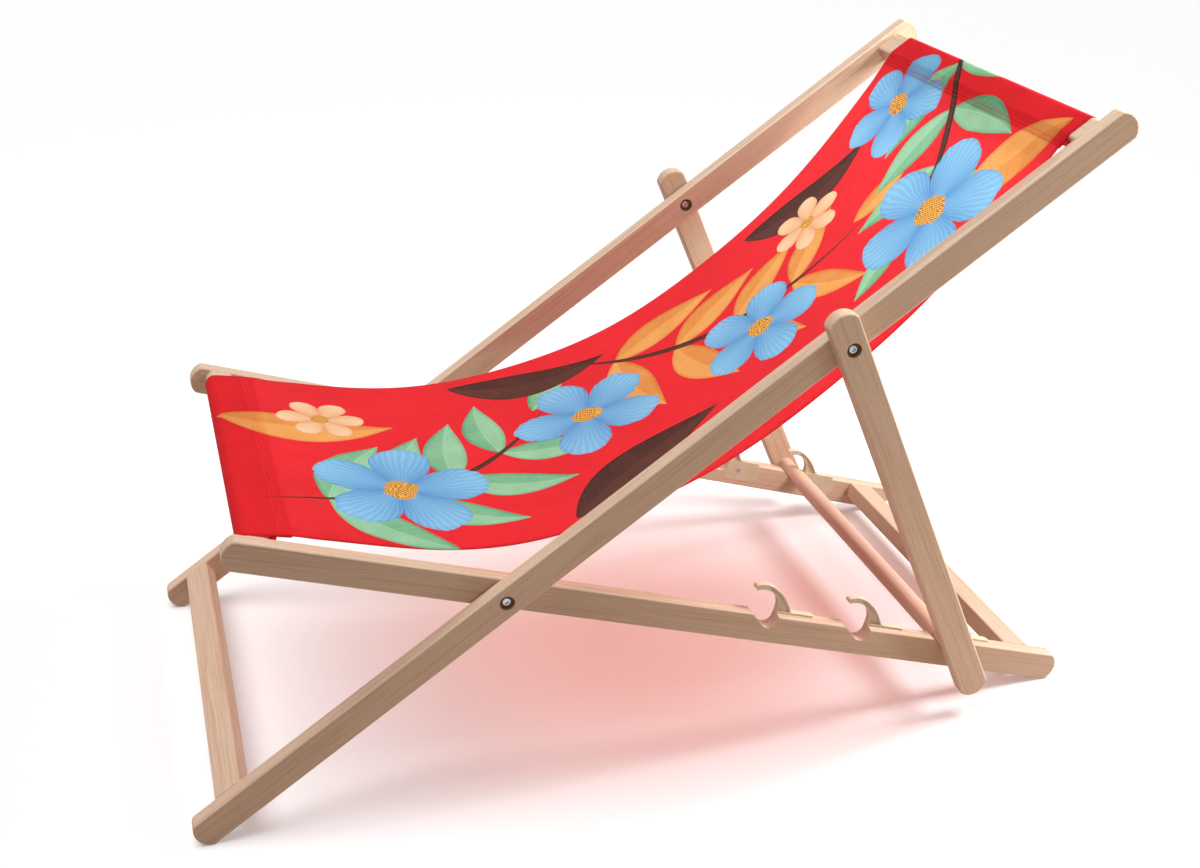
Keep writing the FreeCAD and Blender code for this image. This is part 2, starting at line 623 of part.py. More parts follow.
def sling():
    """The cloth: hem round the front bar, hanging curve, hem round the top bar."""
    a, b, headings, (scale, low, base), length = hanging_curve()
    quarter = math.pi / 2
    front_dip = SEAT_ANGLE - headings[0]
    top_dip = headings[1] - BACK_ANGLE
    # the front hem starts under the sling behind its bar
    turn_s = FRONT_BAR.s + BAR_WIDTH / 2 + WRAP_OFFSET + SEAM_RADIUS
    turn_n = FRONT_BAR.n + FRONT_BAR.side / 2 + FRONT_BAR.hem_rise(front_dip)
    start = turn(SEAT_ANGLE, turn_s + SEAM_RADIUS * math.sin(front_dip) + SLING_SEAM * math.cos(front_dip),
                 turn_n + SEAM_RADIUS * math.cos(front_dip) - SLING_SEAM * math.sin(front_dip))
    path = Path(start, headings[0] + math.pi)
    path.straight(SLING_SEAM)
    path.bend(SEAM_RADIUS, quarter + front_dip)
    path.straight(FRONT_BAR.side + FRONT_BAR.hem_rise(front_dip))
    path.bend(FRONT_BAR.wrap, -quarter)
    FRONT_BAR.wrap_with(path)
    path.bend(FRONT_BAR.wrap, -front_dip)
    for i in range(1, SLING_SPANS + 1):
        y = a[0] + (b[0] - a[0]) * i / SLING_SPANS
        path.biarc((y, base + scale * math.cosh((y - low) / scale)), math.atan(math.sinh((y - low) / scale)))
    path.bend(TOP_BAR.wrap, -top_dip)
    TOP_BAR.wrap_with(path)
    path.bend(TOP_BAR.wrap, -quarter)
    path.straight(TOP_BAR.side + TOP_BAR.hem_rise(top_dip))
    path.bend(SEAM_RADIUS, quarter + top_dip)
    path.straight(SLING_SEAM)
    print("sling: cloth between the bars", round(length, 1), "cut length", round(path.length, 1),
          "curve scale", round(scale, 2), "lowest at", round(low, 2), round(base + scale, 2))
    return path.solid(SLING_WIDTH)


def frames():
    """Every node of the chair with the main pivot at the origin, before it is set on the floor."""
    prop = PROP_PIVOT
    left = {
        "seat_rail": placed(seat_rail(), SEAT_ANGLE),
        "back_rail": placed(back_rail(), BACK_ANGLE),
        "prop_strut": placed(strut(), PROP_ANGLE, prop),
        "main_pivot_bolt": placed(pivot_bolt(BACK_OUT), BACK_ANGLE),
        "main_pivot_nut": placed(pivot_nut(SEAT_IN, BACK_OUT), BACK_ANGLE),
        "main_pivot_washer": placed(pivot_washer(SEAT_OUT), SEAT_ANGLE),
        "prop_pivot_bolt": placed(pivot_bolt(STRUT_OUT), BACK_ANGLE, prop),
        "prop_pivot_nut": placed(pivot_nut(BACK_IN, STRUT_OUT), BACK_ANGLE, prop),
        "prop_pivot_washer": placed(pivot_washer(BACK_OUT), BACK_ANGLE, prop),
        "hook_screws": placed(Part.makeCompound([screw(s) for s in NOTCHES.values()]), SEAT_ANGLE),
    }
    nodes = {}
    for name, shape in left.items():
        nodes[name + "_left"] = shape
        nodes[name + "_right"] = mirrored(shape)
    for name, s in NOTCHES.items():
        shape = placed(hook(s), SEAT_ANGLE)
        nodes["hook_left_" + name] = shape
        nodes["hook_right_" + name] = mirrored(shape)
    nodes["seat_front_bar"] = FRONT_BAR.solid()
    nodes["seat_rear_bar"] = REAR_BAR.solid()
    nodes["back_top_bar"] = TOP_BAR.solid()
    nodes["back_floor_bar"] = FLOOR_BAR.solid()
    nodes["prop_dowel"] = placed(dowel(), 0.0, DOWEL_AXIS)
    nodes["sling"] = sling()
    return nodes


def with_worn_feet(nodes):
    """Cut the small worn flats where the rails stand on the floor."""
    size = 2 * (PIVOT_TO_BACK_TOP + PIVOT_TO_SEAT_REAR)
    ground = Part.makeBox(size, size, size, V(-size / 2, -size / 2, FLOOR - size))
    for name in ("seat_rail_left", "seat_rail_right", "back_rail_left", "back_rail_right"):
        nodes[name] = nodes[name].cut(ground)
    return nodes


def main():
    nodes = with_worn_feet(frames())
    box = Part.makeCompound(list(nodes.values())).optimalBoundingBox(False)
    shift = V(0, -(box.YMin + box.YMax) / 2, -FLOOR)
    os.makedirs("parts", exist_ok=True)
    for name, shape in nodes.items():
        shape.translate(shift)
        shape.exportStep(os.path.join("parts", name + ".step"))
        if not shape.isValid():
            print("not valid:", name)
    places = {"main pivot": (0.0, 0.0), "prop pivot": PROP_PIVOT, "dowel axis": DOWEL_AXIS}
    for label, (y, z) in places.items():
        print(label, "y", round(y + shift.y, 4), "z", round(z + shift.z, 4))
    for label, angle in (("seat", SEAT_ANGLE), ("back", BACK_ANGLE), ("prop", PROP_ANGLE)):
        print(label, "angle", round(math.degrees(angle), 4))
    print("size", round(box.XLength, 2), round(box.YLength, 2), round(box.ZMax - FLOOR, 2),
          "below the floor", round(FLOOR - box.ZMin, 3))


main()
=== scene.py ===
# %% [markdown]
# # A folding deck chair, dressed around its CAD frame
# The wooden frame, the hooks and the pivots come from the imported CAD model, which is loaded first and stays
# where it is. This file adds what a solid can't give: wood grain, moulded plastic, plated steel, and above
# all the cloth, which replaces its plain CAD solid.

# %% Load the frame
import math

import bpy
from mathutils import Euler, Matrix, Vector


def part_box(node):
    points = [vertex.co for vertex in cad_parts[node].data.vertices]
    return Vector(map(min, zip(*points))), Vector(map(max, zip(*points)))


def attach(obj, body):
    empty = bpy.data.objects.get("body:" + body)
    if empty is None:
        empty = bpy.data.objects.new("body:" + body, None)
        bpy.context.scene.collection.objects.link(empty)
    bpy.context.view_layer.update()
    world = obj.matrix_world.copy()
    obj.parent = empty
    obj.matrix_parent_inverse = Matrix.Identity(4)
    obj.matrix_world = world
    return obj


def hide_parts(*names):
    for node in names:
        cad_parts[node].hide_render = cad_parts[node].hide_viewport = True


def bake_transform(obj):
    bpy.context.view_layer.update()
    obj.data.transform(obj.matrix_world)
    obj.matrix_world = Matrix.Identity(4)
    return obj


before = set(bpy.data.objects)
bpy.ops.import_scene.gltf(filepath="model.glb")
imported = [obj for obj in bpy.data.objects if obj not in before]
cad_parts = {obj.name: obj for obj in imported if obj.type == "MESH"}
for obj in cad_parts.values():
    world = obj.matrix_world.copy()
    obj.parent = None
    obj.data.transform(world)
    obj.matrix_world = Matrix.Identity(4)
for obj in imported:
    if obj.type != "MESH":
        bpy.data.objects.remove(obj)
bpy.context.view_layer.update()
scene = bpy.context.scene
scene.view_settings.view_transform = "Standard"

# %% [markdown]
# ## Camera
# The viewing angle was found by fitting a pinhole camera to the straight edges of the rails. A camera looks
# along its own -Z with +X to the right, so its matrix can be written from the direction it looks in and its
# right-hand direction, without any rotation angles.

# %% Camera
CAMERA_PLACE = Vector((1.80629, -0.50956, 1.18158))
LOOKS_ALONG = Vector((-0.8712, 0.2498, -0.4227)).normalized()
RIGHT_HAND = Vector((0.2806, 0.9598, -0.0112)).normalized()
FOCAL_LENGTH = 49.314        # mm, for a picture 36 mm wide
SENSOR_WIDTH = 36.0

upward = RIGHT_HAND.cross(LOOKS_ALONG)
camera_data = bpy.data.cameras.new("camera")
camera_data.sensor_fit = "HORIZONTAL"
camera_data.sensor_width = SENSOR_WIDTH
camera_data.lens = FOCAL_LENGTH
camera = bpy.data.objects.new("camera", camera_data)
turned = Matrix((RIGHT_HAND, upward, -LOOKS_ALONG)).transposed().to_4x4()
camera.matrix_world = Matrix.Translation(CAMERA_PLACE) @ turned
scene.collection.objects.link(camera)
scene.camera = camera
print("camera at", [round(c, 3) for c in CAMERA_PLACE], "lens", FOCAL_LENGTH)

# %% [markdown]
# ## Node helpers
# Materials are built from nodes in code. A few small helpers keep that readable: they add a node and fill
# its sockets with numbers or links, do a sum, mix two colours by a mask, or make and place a group.


# %% Node helpers
def feed(tree, socket, value):
    """Link a socket into this one, or set its value."""
    if isinstance(value, bpy.types.NodeSocket):
        tree.links.new(value, socket)
    else:
        socket.default_value = value


def fill(tree, node, values):
    """Feed a node's sockets, given by name or by number."""
    for name, value in values.items():
        feed(tree, node.inputs[name], value)


def add(tree, kind, values=None, **settings):
    """Add a node with these settings and socket values."""
    node = tree.nodes.new(kind)
    for name, setting in settings.items():
        setattr(node, name, setting)
    fill(tree, node, values or {})
    return node


def calc(tree, operation, *values, clamp=False):
    """One sum on numbers."""
    sockets = dict(enumerate(values))
    return add(tree, "ShaderNodeMath", sockets, operation=operation, use_clamp=clamp).outputs[0]


def tint(tree, mask, first, second):
    """Mix two colours by a mask."""
    return add(tree, "ShaderNodeMix", {0: mask, 6: first, 7: second}, data_type="RGBA").outputs[2]


def ease(tree, value, low, high, to_low=0.0, to_high=1.0):
    """A smooth step from one value to another."""
    sockets = dict(enumerate((value, low, high, to_low, to_high)))
    return add(tree, "ShaderNodeMapRange", sockets, interpolation_type="SMOOTHSTEP").outputs[0]


def noise(tree, vector, scale, detail=2.0, roughness=0.5):
    """Soft random values over a vector that is stretched by scale first."""
    stretched = add(tree, "ShaderNodeVectorMath", {0: vector, 1: scale}, operation="MULTIPLY")
    values = {"Vector": stretched.outputs[0], "Scale": 1.0, "Detail": detail, "Roughness": roughness}
    return add(tree, "ShaderNodeTexNoise", values).outputs[0]


def bump(tree, height, strength, depth):
    """The normal of a finely uneven skin; its depth is in metres."""
    values = {"Strength": strength, "Distance": depth, "Height": height}
    return add(tree, "ShaderNodeBump", values).outputs[0]


def shader_group(name, inputs, outputs):
    """An empty node group with named sockets: its tree, what comes in, and what goes out."""
    kinds = {"vector": "NodeSocketVector", "number": "NodeSocketFloat", "colour": "NodeSocketColor"}
    group = bpy.data.node_groups.new(name, "ShaderNodeTree")
    for label, kind in inputs.items():
        group.interface.new_socket(label, in_out="INPUT", socket_type=kinds[kind])
    for label, kind in outputs.items():
        group.interface.new_socket(label, in_out="OUTPUT", socket_type=kinds[kind])
    return group, group.nodes.new("NodeGroupInput").outputs, group.nodes.new("NodeGroupOutput").inputs


def fill_group(tree, group, values):
    """Place a group in a tree with these socket values."""
    return add(tree, "ShaderNodeGroup", values, node_tree=group).outputs


def new_material(name):
    """A new material, its node tree and its Principled shader."""
    material = bpy.data.materials.new(name)
    material.use_nodes = True
    return material, material.node_tree, material.node_tree.nodes["Principled BSDF"]


def looked_at(tree):
    """A mask of the rays that show a surface to the camera, straight or by way of metal and glass."""
    path_kind = add(tree, "ShaderNodeLightPath").outputs
    seen = calc(tree, "MAXIMUM", path_kind["Is Camera Ray"], path_kind["Is Glossy Ray"])
    return calc(tree, "MAXIMUM", seen, path_kind["Is Transmission Ray"])


print("helpers ready")

# %% [markdown]
# ## Floor and light
# The chair stands on a plain white studio floor. The floor's own diffuse colour catches the soft shadow and
# the red glow of the cloth. For rays from the camera it also shines a little by itself, white all round,
# which lifts it towards the backdrop. In a pool under the chair the floor is painted instead: a darker colour
# as seen, a painted shadow, and a red glow of its own light, painted where the cloth's glow is strongest.
# A broad, soft sun from above lights floor and chair evenly, and a softbox hangs behind the chair, in line
# with the slope of its back: it shines through the cloth and brightens the prop bar and the rear of the seat
# frame. The outer faces get what the floor throws back, and towards the rear a little more from a low fill
# lamp. A weak lamp over the headrest lifts the upper cloth and rails.

# %% Floor
FLOOR_HALF = 9.0
FLOOR_ROUGHNESS = 0.9
FLOOR_OPEN = (0.84, 0.84, 0.84, 1.0)         # as seen, away from the chair
# Under the chair the floor is painted: a darker seen colour for shadow, and a red glow of its own light.
PAINTED_SHADE_FLOOR = (0.36, 0.44, 0.46, 1.0)         # as seen, under the chair
FLOOR_FELT = (0.50, 0.385, 0.31, 1.0)        # for the light that it throws back
GLOW_OPEN, LIFT_OPEN = (1.0, 1.0, 1.0, 1.0), 0.25            # colour and strength of its own light
PAINTED_GLOW_COLOUR, PAINTED_GLOW_STRENGTH = (1.0, 0.21, 0.10, 1.0), 0.53
PAINTED_POOL_MIDDLE = (0.02, 0.10, 0.0)
PAINTED_POOL_FADES = (0.05, 0.76)                    # distances from its middle between which the pool fades

floor_mesh = bpy.data.meshes.new("studio_floor")
corners = [(-FLOOR_HALF, -FLOOR_HALF, 0), (FLOOR_HALF, -FLOOR_HALF, 0), (FLOOR_HALF, FLOOR_HALF, 0),
           (-FLOOR_HALF, FLOOR_HALF, 0)]
floor_mesh.from_pydata(corners, [], [(0, 1, 2, 3)])
floor = bpy.data.objects.new("studio_floor", floor_mesh)
scene.collection.objects.link(floor)

floor_material, tree, paint = new_material("studio_floor")
where = add(tree, "ShaderNodeTexCoord").outputs["Object"]
# The painted pool of shadow and red glow fades out with distance from its middle.
from_middle = add(tree, "ShaderNodeVectorMath", {0: where, 1: PAINTED_POOL_MIDDLE}, operation="DISTANCE")
away = ease(tree, from_middle.outputs["Value"], *PAINTED_POOL_FADES)
seen = looked_at(tree)
floor_seen = tint(tree, away, PAINTED_SHADE_FLOOR, FLOOR_OPEN)
lift_and_painted_glow = ease(tree, away, 0.0, 1.0, PAINTED_GLOW_STRENGTH, LIFT_OPEN)
fill(tree, paint, {
    "Base Color": tint(tree, seen, FLOOR_FELT, floor_seen),
    "Roughness": FLOOR_ROUGHNESS,
    "Specular IOR Level": 0.0,
    "Emission Color": tint(tree, away, PAINTED_GLOW_COLOUR, GLOW_OPEN),
    "Emission Strength": calc(tree, "MULTIPLY", seen, lift_and_painted_glow)})
floor_mesh.materials.append(floor_material)
print("floor", 2 * FLOOR_HALF, "m wide")

# %% Lamps and world
SUN_STRENGTH = 2.45
SUN_FROM = Vector((-0.04, -0.25, 1.0))
SUN_WIDTH = math.radians(50)
SOFTBOXES = {        # place, aim, width, height, power
    "back_softbox": ((0.22, 1.18, 1.08), (0.0, 0.25, 0.20), 0.42, 0.50, 20.5),
    "rear_fill": ((0.80, 0.95, 0.22), (0.26, 0.50, 0.08), 0.30, 0.30, 1.55),
    "top_fill": ((0.0, 0.30, 1.45), (0.0, 0.52, 0.70), 0.40, 0.30, 0.85),
}
SKY_STRENGTH = 0.11

sun_data = bpy.data.lights.new("studio_sun", "SUN")
sun_data.energy = SUN_STRENGTH
sun_data.angle = SUN_WIDTH
sun = bpy.data.objects.new("studio_sun", sun_data)
sun.rotation_euler = (-SUN_FROM).to_track_quat("-Z", "Y").to_euler()
scene.collection.objects.link(sun)

for name, (place, aim, width, height, power) in SOFTBOXES.items():
    box_data = bpy.data.lights.new(name, "AREA")
    box_data.shape = "RECTANGLE"
    box_data.size, box_data.size_y = width, height
    box_data.energy = power
    softbox = bpy.data.objects.new(name, box_data)
    softbox.location = place
    softbox.rotation_euler = (Vector(aim) - Vector(place)).to_track_quat("-Z", "Y").to_euler()
    softbox.visible_camera = False
    softbox.visible_glossy = False
    scene.collection.objects.link(softbox)

world = bpy.data.worlds.new("studio")
world.use_nodes = True
scene.world = world
tree = world.node_tree
backdrop = tree.nodes["Background"]
backdrop.inputs["Color"].default_value = (1, 1, 1, 1)
feed(tree, backdrop.inputs["Strength"], ease(tree, looked_at(tree), 0.0, 1.0, SKY_STRENGTH, 1.0))
print("sun", SUN_STRENGTH, "softboxes", [box[-1] for box in SOFTBOXES.values()], "sky", SKY_STRENGTH)

# %% [markdown]
# ## Beech
# The frame is planed beech: pale, close-grained, with fine straight growth lines and short brown ray flecks.
# Its
# long edges are painted a little lighter: partly wear, partly a painted highlight on their rounding. An image
# of wood would stretch round corners, so the grain is built in space, as it is in a tree: rings round a pith
# that lies outside the rail. Every face and end then shows the cut through the same rings. One node group
# does this, and each piece places it along its own length, with a tone of its own that is partly a difference
# between boards and partly painted light. The round prop bar is of steamed beech, which is more even and
# pinker: partly its own colour, partly a painted red light that the cloth throws on it.

# %% Beech grain group
PALE_WOOD = (0.770, 0.560, 0.405, 1.0)
LATE_WOOD = (0.590, 0.365, 0.230, 1.0)
FLECK_WOOD = (0.400, 0.225, 0.130, 1.0)
# lighter edges: partly wear, partly a painted highlight on their rounding
WORN_AND_HIGHLIT_WOOD = (0.880, 0.720, 0.570, 1.0)
# pinker: partly steamed beech's own colour, partly painted red light from the cloth
STEAMED_AND_RED_LIT_WOOD = (0.780, 0.480, 0.370, 1.0)
WANDER_SCALE, WANDER = (2.2, 9.0, 9.0), 0.016        # how often and how far the rings leave true circles
RING_SCALE = (5.0, 60.0, 60.0)                       # scales are along, across and down a piece, per metre
FIBRE_SCALE = (14.0, 900.0, 900.0)
STREAK_SCALE = (5.0, 320.0, 320.0)
CLOUD_SCALE = (4.0, 22.0, 22.0)
FLECK_SCALE = (260.0, 1500.0, 1500.0)
STREAKS, FIBRES, FLECKS = 0.60, 0.45, 0.60           # how strong each of them is
WORN_AND_HIGHLIT_FADES, WORN_AND_HIGHLIT = (0.0005, 0.0028), 0.45        # metres from an edge, and the strength there

beech_group, given, gives = shader_group(
    "beech_grain",
    {"Vector": "vector", "Ring Spacing": "number", "Pith Across": "number", "Pith Down": "number",
     "Half Across": "number", "Half Down": "number", "Steamed And Red Lit": "number", "Tone And Painted Light": "number"},
    {"Color": "colour", "Roughness": "number", "Height": "number"})
tree = beech_group
axes = add(tree, "ShaderNodeSeparateXYZ", {"Vector": given["Vector"]}).outputs
drift = calc(tree, "SUBTRACT", noise(tree, given["Vector"], WANDER_SCALE), 0.5)
wander = calc(tree, "MULTIPLY", drift, WANDER)
across = calc(tree, "ADD", calc(tree, "SUBTRACT", axes["Y"], given["Pith Across"]), wander)
down = calc(tree, "ADD", calc(tree, "SUBTRACT", axes["Z"], given["Pith Down"]), wander)
radius = calc(tree, "SQRT", calc(tree, "ADD", calc(tree, "MULTIPLY", across, across),
                                 calc(tree, "MULTIPLY", down, down)))
ring_count = calc(tree, "DIVIDE", radius, given["Ring Spacing"])
ring_count = calc(tree, "ADD", ring_count, noise(tree, given["Vector"], RING_SCALE))
late = calc(tree, "POWER", calc(tree, "FRACT", ring_count), 3.0)
fibre = noise(tree, given["Vector"], FIBRE_SCALE, 3.0, 0.6)
streak = noise(tree, given["Vector"], STREAK_SCALE, 3.0, 0.6)
cloud = noise(tree, given["Vector"], CLOUD_SCALE, 1.0)
fleck = ease(tree, noise(tree, given["Vector"], FLECK_SCALE, 1.0), 0.63, 0.72)
ring_mask = calc(tree, "MULTIPLY", late, ease(tree, cloud, 0.25, 0.7, 0.35, 0.8))
colour = tint(tree, ring_mask, PALE_WOOD, LATE_WOOD)
colour = tint(tree, ease(tree, streak, 0.42, 0.72, 0.0, STREAKS), colour, LATE_WOOD)
colour = tint(tree, ease(tree, fibre, 0.45, 0.8, 0.0, FIBRES), colour, FLECK_WOOD)
colour = tint(tree, calc(tree, "MULTIPLY", fleck, FLECKS), colour, FLECK_WOOD)
# The long edges are painted lighter, partly as wear and partly as a painted highlight; they are smoother
# there too.
inside_across = calc(tree, "SUBTRACT", given["Half Across"], calc(tree, "ABSOLUTE", axes["Y"]))
inside_down = calc(tree, "SUBTRACT", given["Half Down"], calc(tree, "ABSOLUTE", axes["Z"]))
edge_across = ease(tree, inside_across, *WORN_AND_HIGHLIT_FADES, 1.0, 0.0)
edge_down = ease(tree, inside_down, *WORN_AND_HIGHLIT_FADES, 1.0, 0.0)
worn_and_highlit = calc(tree, "MULTIPLY", calc(tree, "MULTIPLY", edge_across, edge_down), WORN_AND_HIGHLIT)
colour = tint(tree, worn_and_highlit, colour, WORN_AND_HIGHLIT_WOOD)
# The dowel's pink mix is partly steamed beech's own colour and partly painted red light from the cloth.
colour = tint(tree, given["Steamed And Red Lit"], colour, STEAMED_AND_RED_LIT_WOOD)
# The tone is partly a difference between boards and partly painted light.
toned = add(tree, "ShaderNodeHueSaturation", {"Color": colour, "Value": given["Tone And Painted Light"]})
feed(tree, gives["Color"], toned.outputs[0])
feed(tree, gives["Roughness"], ease(tree, calc(tree, "ADD", fibre, worn_and_highlit), 0.3, 1.0, 0.62, 0.42))
sunk = calc(tree, "ADD", fibre, fleck)
feed(tree, gives["Height"], calc(tree, "SUBTRACT", calc(tree, "MULTIPLY", late, -0.4), sunk))
print("beech group has", len(tree.nodes), "nodes")

# %% Beech on every wooden piece
SEAT_ANGLE = math.radians(-18.259)
BACK_ANGLE = math.radians(33.6985)
PROP_ANGLE = math.radians(-68.1981)
RAIL_HALVES = (0.010, 0.018)
BAR_HALVES = (0.018, 0.011)
NO_EDGES = (1.0, 1.0)
STEAMED_AND_RED_LIT = 0.55
MAIN_PIVOT = (-0.1797053, 0.2496415)         # Y and Z of the bolts' axes
PROP_PIVOT = (0.2096562, 0.5092982)
BORE_RADIUS = 0.0085
BORE_FADES, BORE_SHADE = (1.01 * BORE_RADIUS, 1.05 * BORE_RADIUS), 0.80
BORED_WOOD = (0.250, 0.135, 0.075, 1.0)


def dress(node, material):
    """Give a CAD node this one material."""
    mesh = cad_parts[node].data
    mesh.materials.clear()
    mesh.materials.append(material)


def bored(tree, where):
    """A mask of the sunk holes of the bolts, where the wood within their radius is coloured darker."""
    nearest = 1.0
    for axis in (MAIN_PIVOT, PROP_PIVOT):
        flat = add(tree, "ShaderNodeVectorMath", {0: where, 1: (0.0, 1.0, 1.0)}, operation="MULTIPLY")
        away = add(tree, "ShaderNodeVectorMath", {0: flat.outputs[0], 1: (0.0, *axis)}, operation="DISTANCE")
        nearest = calc(tree, "MINIMUM", away.outputs["Value"], nearest)
    return ease(tree, nearest, *BORE_FADES, BORE_SHADE, 0.0)


def lay_beech(node, length_turn, spacing, pith, halves, tone_and_painted_light, steamed_and_red_lit=0.0):
    """Give a CAD node beech that runs along it; length_turn is a rail's slope, or None for a cross bar."""
    material, tree, surface = new_material("beech_" + node)
    low, high = (Vector(corner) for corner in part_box(node))
    rotation = Euler((0, 0, 0)) if length_turn is None else Euler((-length_turn, 0, -math.pi / 2))
    middle = (low + high) / 2
    middle.rotate(rotation)
    where = add(tree, "ShaderNodeTexCoord").outputs["Object"]
    place = add(tree, "ShaderNodeMapping", {"Vector": where, "Rotation": rotation, "Location": -middle})
    grain = fill_group(tree, beech_group, {
        "Vector": place.outputs[0], "Ring Spacing": spacing, "Pith Across": pith[0], "Pith Down": pith[1],
        "Half Across": halves[0], "Half Down": halves[1], "Steamed And Red Lit": steamed_and_red_lit, "Tone And Painted Light": tone_and_painted_light})
    fill(tree, surface, {
        "Base Color": tint(tree, bored(tree, where), grain["Color"], BORED_WOOD),
        "Roughness": grain["Roughness"],
        "Specular IOR Level": 0.5,
        "Normal": bump(tree, grain["Height"], 0.35, 0.0004)})
    dress(node, material)


# The last column, each piece's tone, is partly a difference between boards and partly painted light: pieces
# made lighter or darker for how the light falls on them, such as back_rail_right lighter for the sheen on its
# top.
for node, slope, spacing, pith, halves, tone_and_painted_light in (
        ("back_rail_left", BACK_ANGLE, 0.0030, (0.012, -0.090), RAIL_HALVES, 0.97),
        ("back_rail_right", BACK_ANGLE, 0.0027, (-0.030, -0.070), RAIL_HALVES, 1.05),
        ("seat_rail_left", SEAT_ANGLE, 0.0028, (0.020, 0.080), RAIL_HALVES, 0.92),
        ("seat_rail_right", SEAT_ANGLE, 0.0031, (-0.045, -0.060), RAIL_HALVES, 1.0),
        ("prop_strut_left", PROP_ANGLE, 0.0026, (-0.025, 0.075), RAIL_HALVES, 1.02),
        ("prop_strut_right", PROP_ANGLE, 0.0030, (0.050, -0.055), RAIL_HALVES, 1.0),
        ("seat_front_bar", None, 0.0029, (0.040, -0.060), BAR_HALVES, 1.0),
        ("seat_rear_bar", None, 0.0027, (-0.035, 0.055), BAR_HALVES, 0.88),
        ("back_top_bar", None, 0.0030, (0.030, 0.070), BAR_HALVES, 1.0),
        ("back_floor_bar", None, 0.0033, (0.004, -0.028), BAR_HALVES, 1.0)):
    lay_beech(node, slope, spacing, pith, halves, tone_and_painted_light)
    print("beech on", node)
lay_beech("prop_dowel", None, 0.0028, (0.015, 0.045), NO_EDGES, 1.0, STEAMED_AND_RED_LIT)
print("steamed beech on prop_dowel")

# %% [markdown]
# ## Moulded hooks and plated bolts
# The hooks are cast in a beige plastic: nearly even, a little cloudy, with a soft sheen and the fine
# orange-peel skin of a mould. The bolts, sleeve nuts, washers and screws are zinc-plated steel, finely
# turned, so their roughness changes more than their colour. Their CAD shapes are right, so they only need
# these finishes.

# %% Plastic and steel
PLASTIC_DEEP, PLASTIC_PALE = (0.66, 0.52, 0.36, 1), (0.74, 0.61, 0.45, 1)
CLOUDY_SCALE, SKIN_SCALE = (45.0, 45.0, 45.0), (900.0, 900.0, 900.0)
ZINC_BRIGHT, ZINC_DULL = (0.52, 0.52, 0.52, 1), (0.34, 0.34, 0.34, 1)
TURNED_SCALE, SPOTS_SCALE = (300.0, 2200.0, 2200.0), (130.0, 130.0, 130.0)


def finish_nodes(prefixes, material):
    """Put one material on every CAD node whose name starts like this."""
    names = [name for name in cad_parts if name.startswith(prefixes)]
    for name in names:
        dress(name, material)
    return names


plastic, tree, surface = new_material("hook_plastic")
where = add(tree, "ShaderNodeTexCoord").outputs["Object"]
cloudy = noise(tree, where, CLOUDY_SCALE, 3.0)
fill(tree, surface, {
    "Base Color": tint(tree, ease(tree, cloudy, 0.3, 0.7), PLASTIC_DEEP, PLASTIC_PALE),
    "Roughness": ease(tree, cloudy, 0.2, 0.8, 0.34, 0.48),
    "Normal": bump(tree, noise(tree, where, SKIN_SCALE), 0.2, 0.0002)})
hooks = finish_nodes(("hook_left", "hook_right"), plastic)

steel, tree, surface = new_material("plated_steel")
where = add(tree, "ShaderNodeTexCoord").outputs["Object"]
turned_marks = noise(tree, where, TURNED_SCALE, 3.0)
spots = noise(tree, where, SPOTS_SCALE)
fill(tree, surface, {
    "Base Color": tint(tree, ease(tree, spots, 0.35, 0.75), ZINC_BRIGHT, ZINC_DULL),
    "Metallic": 1.0,
    "Roughness": ease(tree, turned_marks, 0.3, 0.75, 0.22, 0.42),
    "Normal": bump(tree, turned_marks, 0.15, 0.0001)})
fastened = finish_nodes(("hook_screws", "main_pivot", "prop_pivot"), steel)
print(len(hooks), "hooks,", len(fastened), "steel pieces")

# %% [markdown]
# ## The sling's line
# The sling is one long rectangle of printed canvas. Each end is folded round a bar and sewn to itself, and
# the rest hangs under its own weight. A thread that hangs freely takes the shape of a catenary, so the line
# between the bars starts from that curve. Canvas is stiffer than thread, most of all beside a doubled hem, so
# it stands a little above the curve behind the front bar, and it has given where people sit, so it is
# hollower there. Seen from the side the sling is one path, so it is drawn as points in the Y-Z plane and
# given its width afterwards.

# %% Sizes of the sling and its bars
PIVOT = Vector(MAIN_PIVOT)
SLING_WIDTH = 0.452
SLING_ASIDE = 0.008                          # how far the cloth has slid along its bars
CLOTH = 0.0011                               # thickness
CLOTH_GAP = 0.0003                           # between the cloth and a bar
LAYER_GAP = 1.25 * CLOTH                     # between the middles of two layers that are sewn together
BAR_WIDTH, BAR_THICKNESS = 0.036, 0.022
SLACK = 0.081
HELD_UP, HELD_UP_AT = 0.0097, 0.098          # most rise over the hanging curve, and its share of the span
SAT_IN, SAT_IN_SKEW = 0.0087, 1.15           # depth of the hollow that sitters left, and how far back it lies
NECK, NECK_AT = 0.029, 0.129                 # most loss of width, as a share, and at which share from the top
STIFF_FADE = 1.3
STEP, EDGE_STEP = 0.004, 0.0012              # longest run between points, and the run round a bar's edge
NEARBY, SAME = 0.0005, 1e-6                  # distances for taking a slope, and for one and the same point
REFITS, HALVINGS = 40, 60                    # how often a fit is repeated, and a guess is halved or mended


def on_rail(angle, along, above):
    """A point given along and above a rail's middle line."""
    return PIVOT + Vector((along * math.cos(angle) - above * math.sin(angle),
                           along * math.sin(angle) + above * math.cos(angle)))


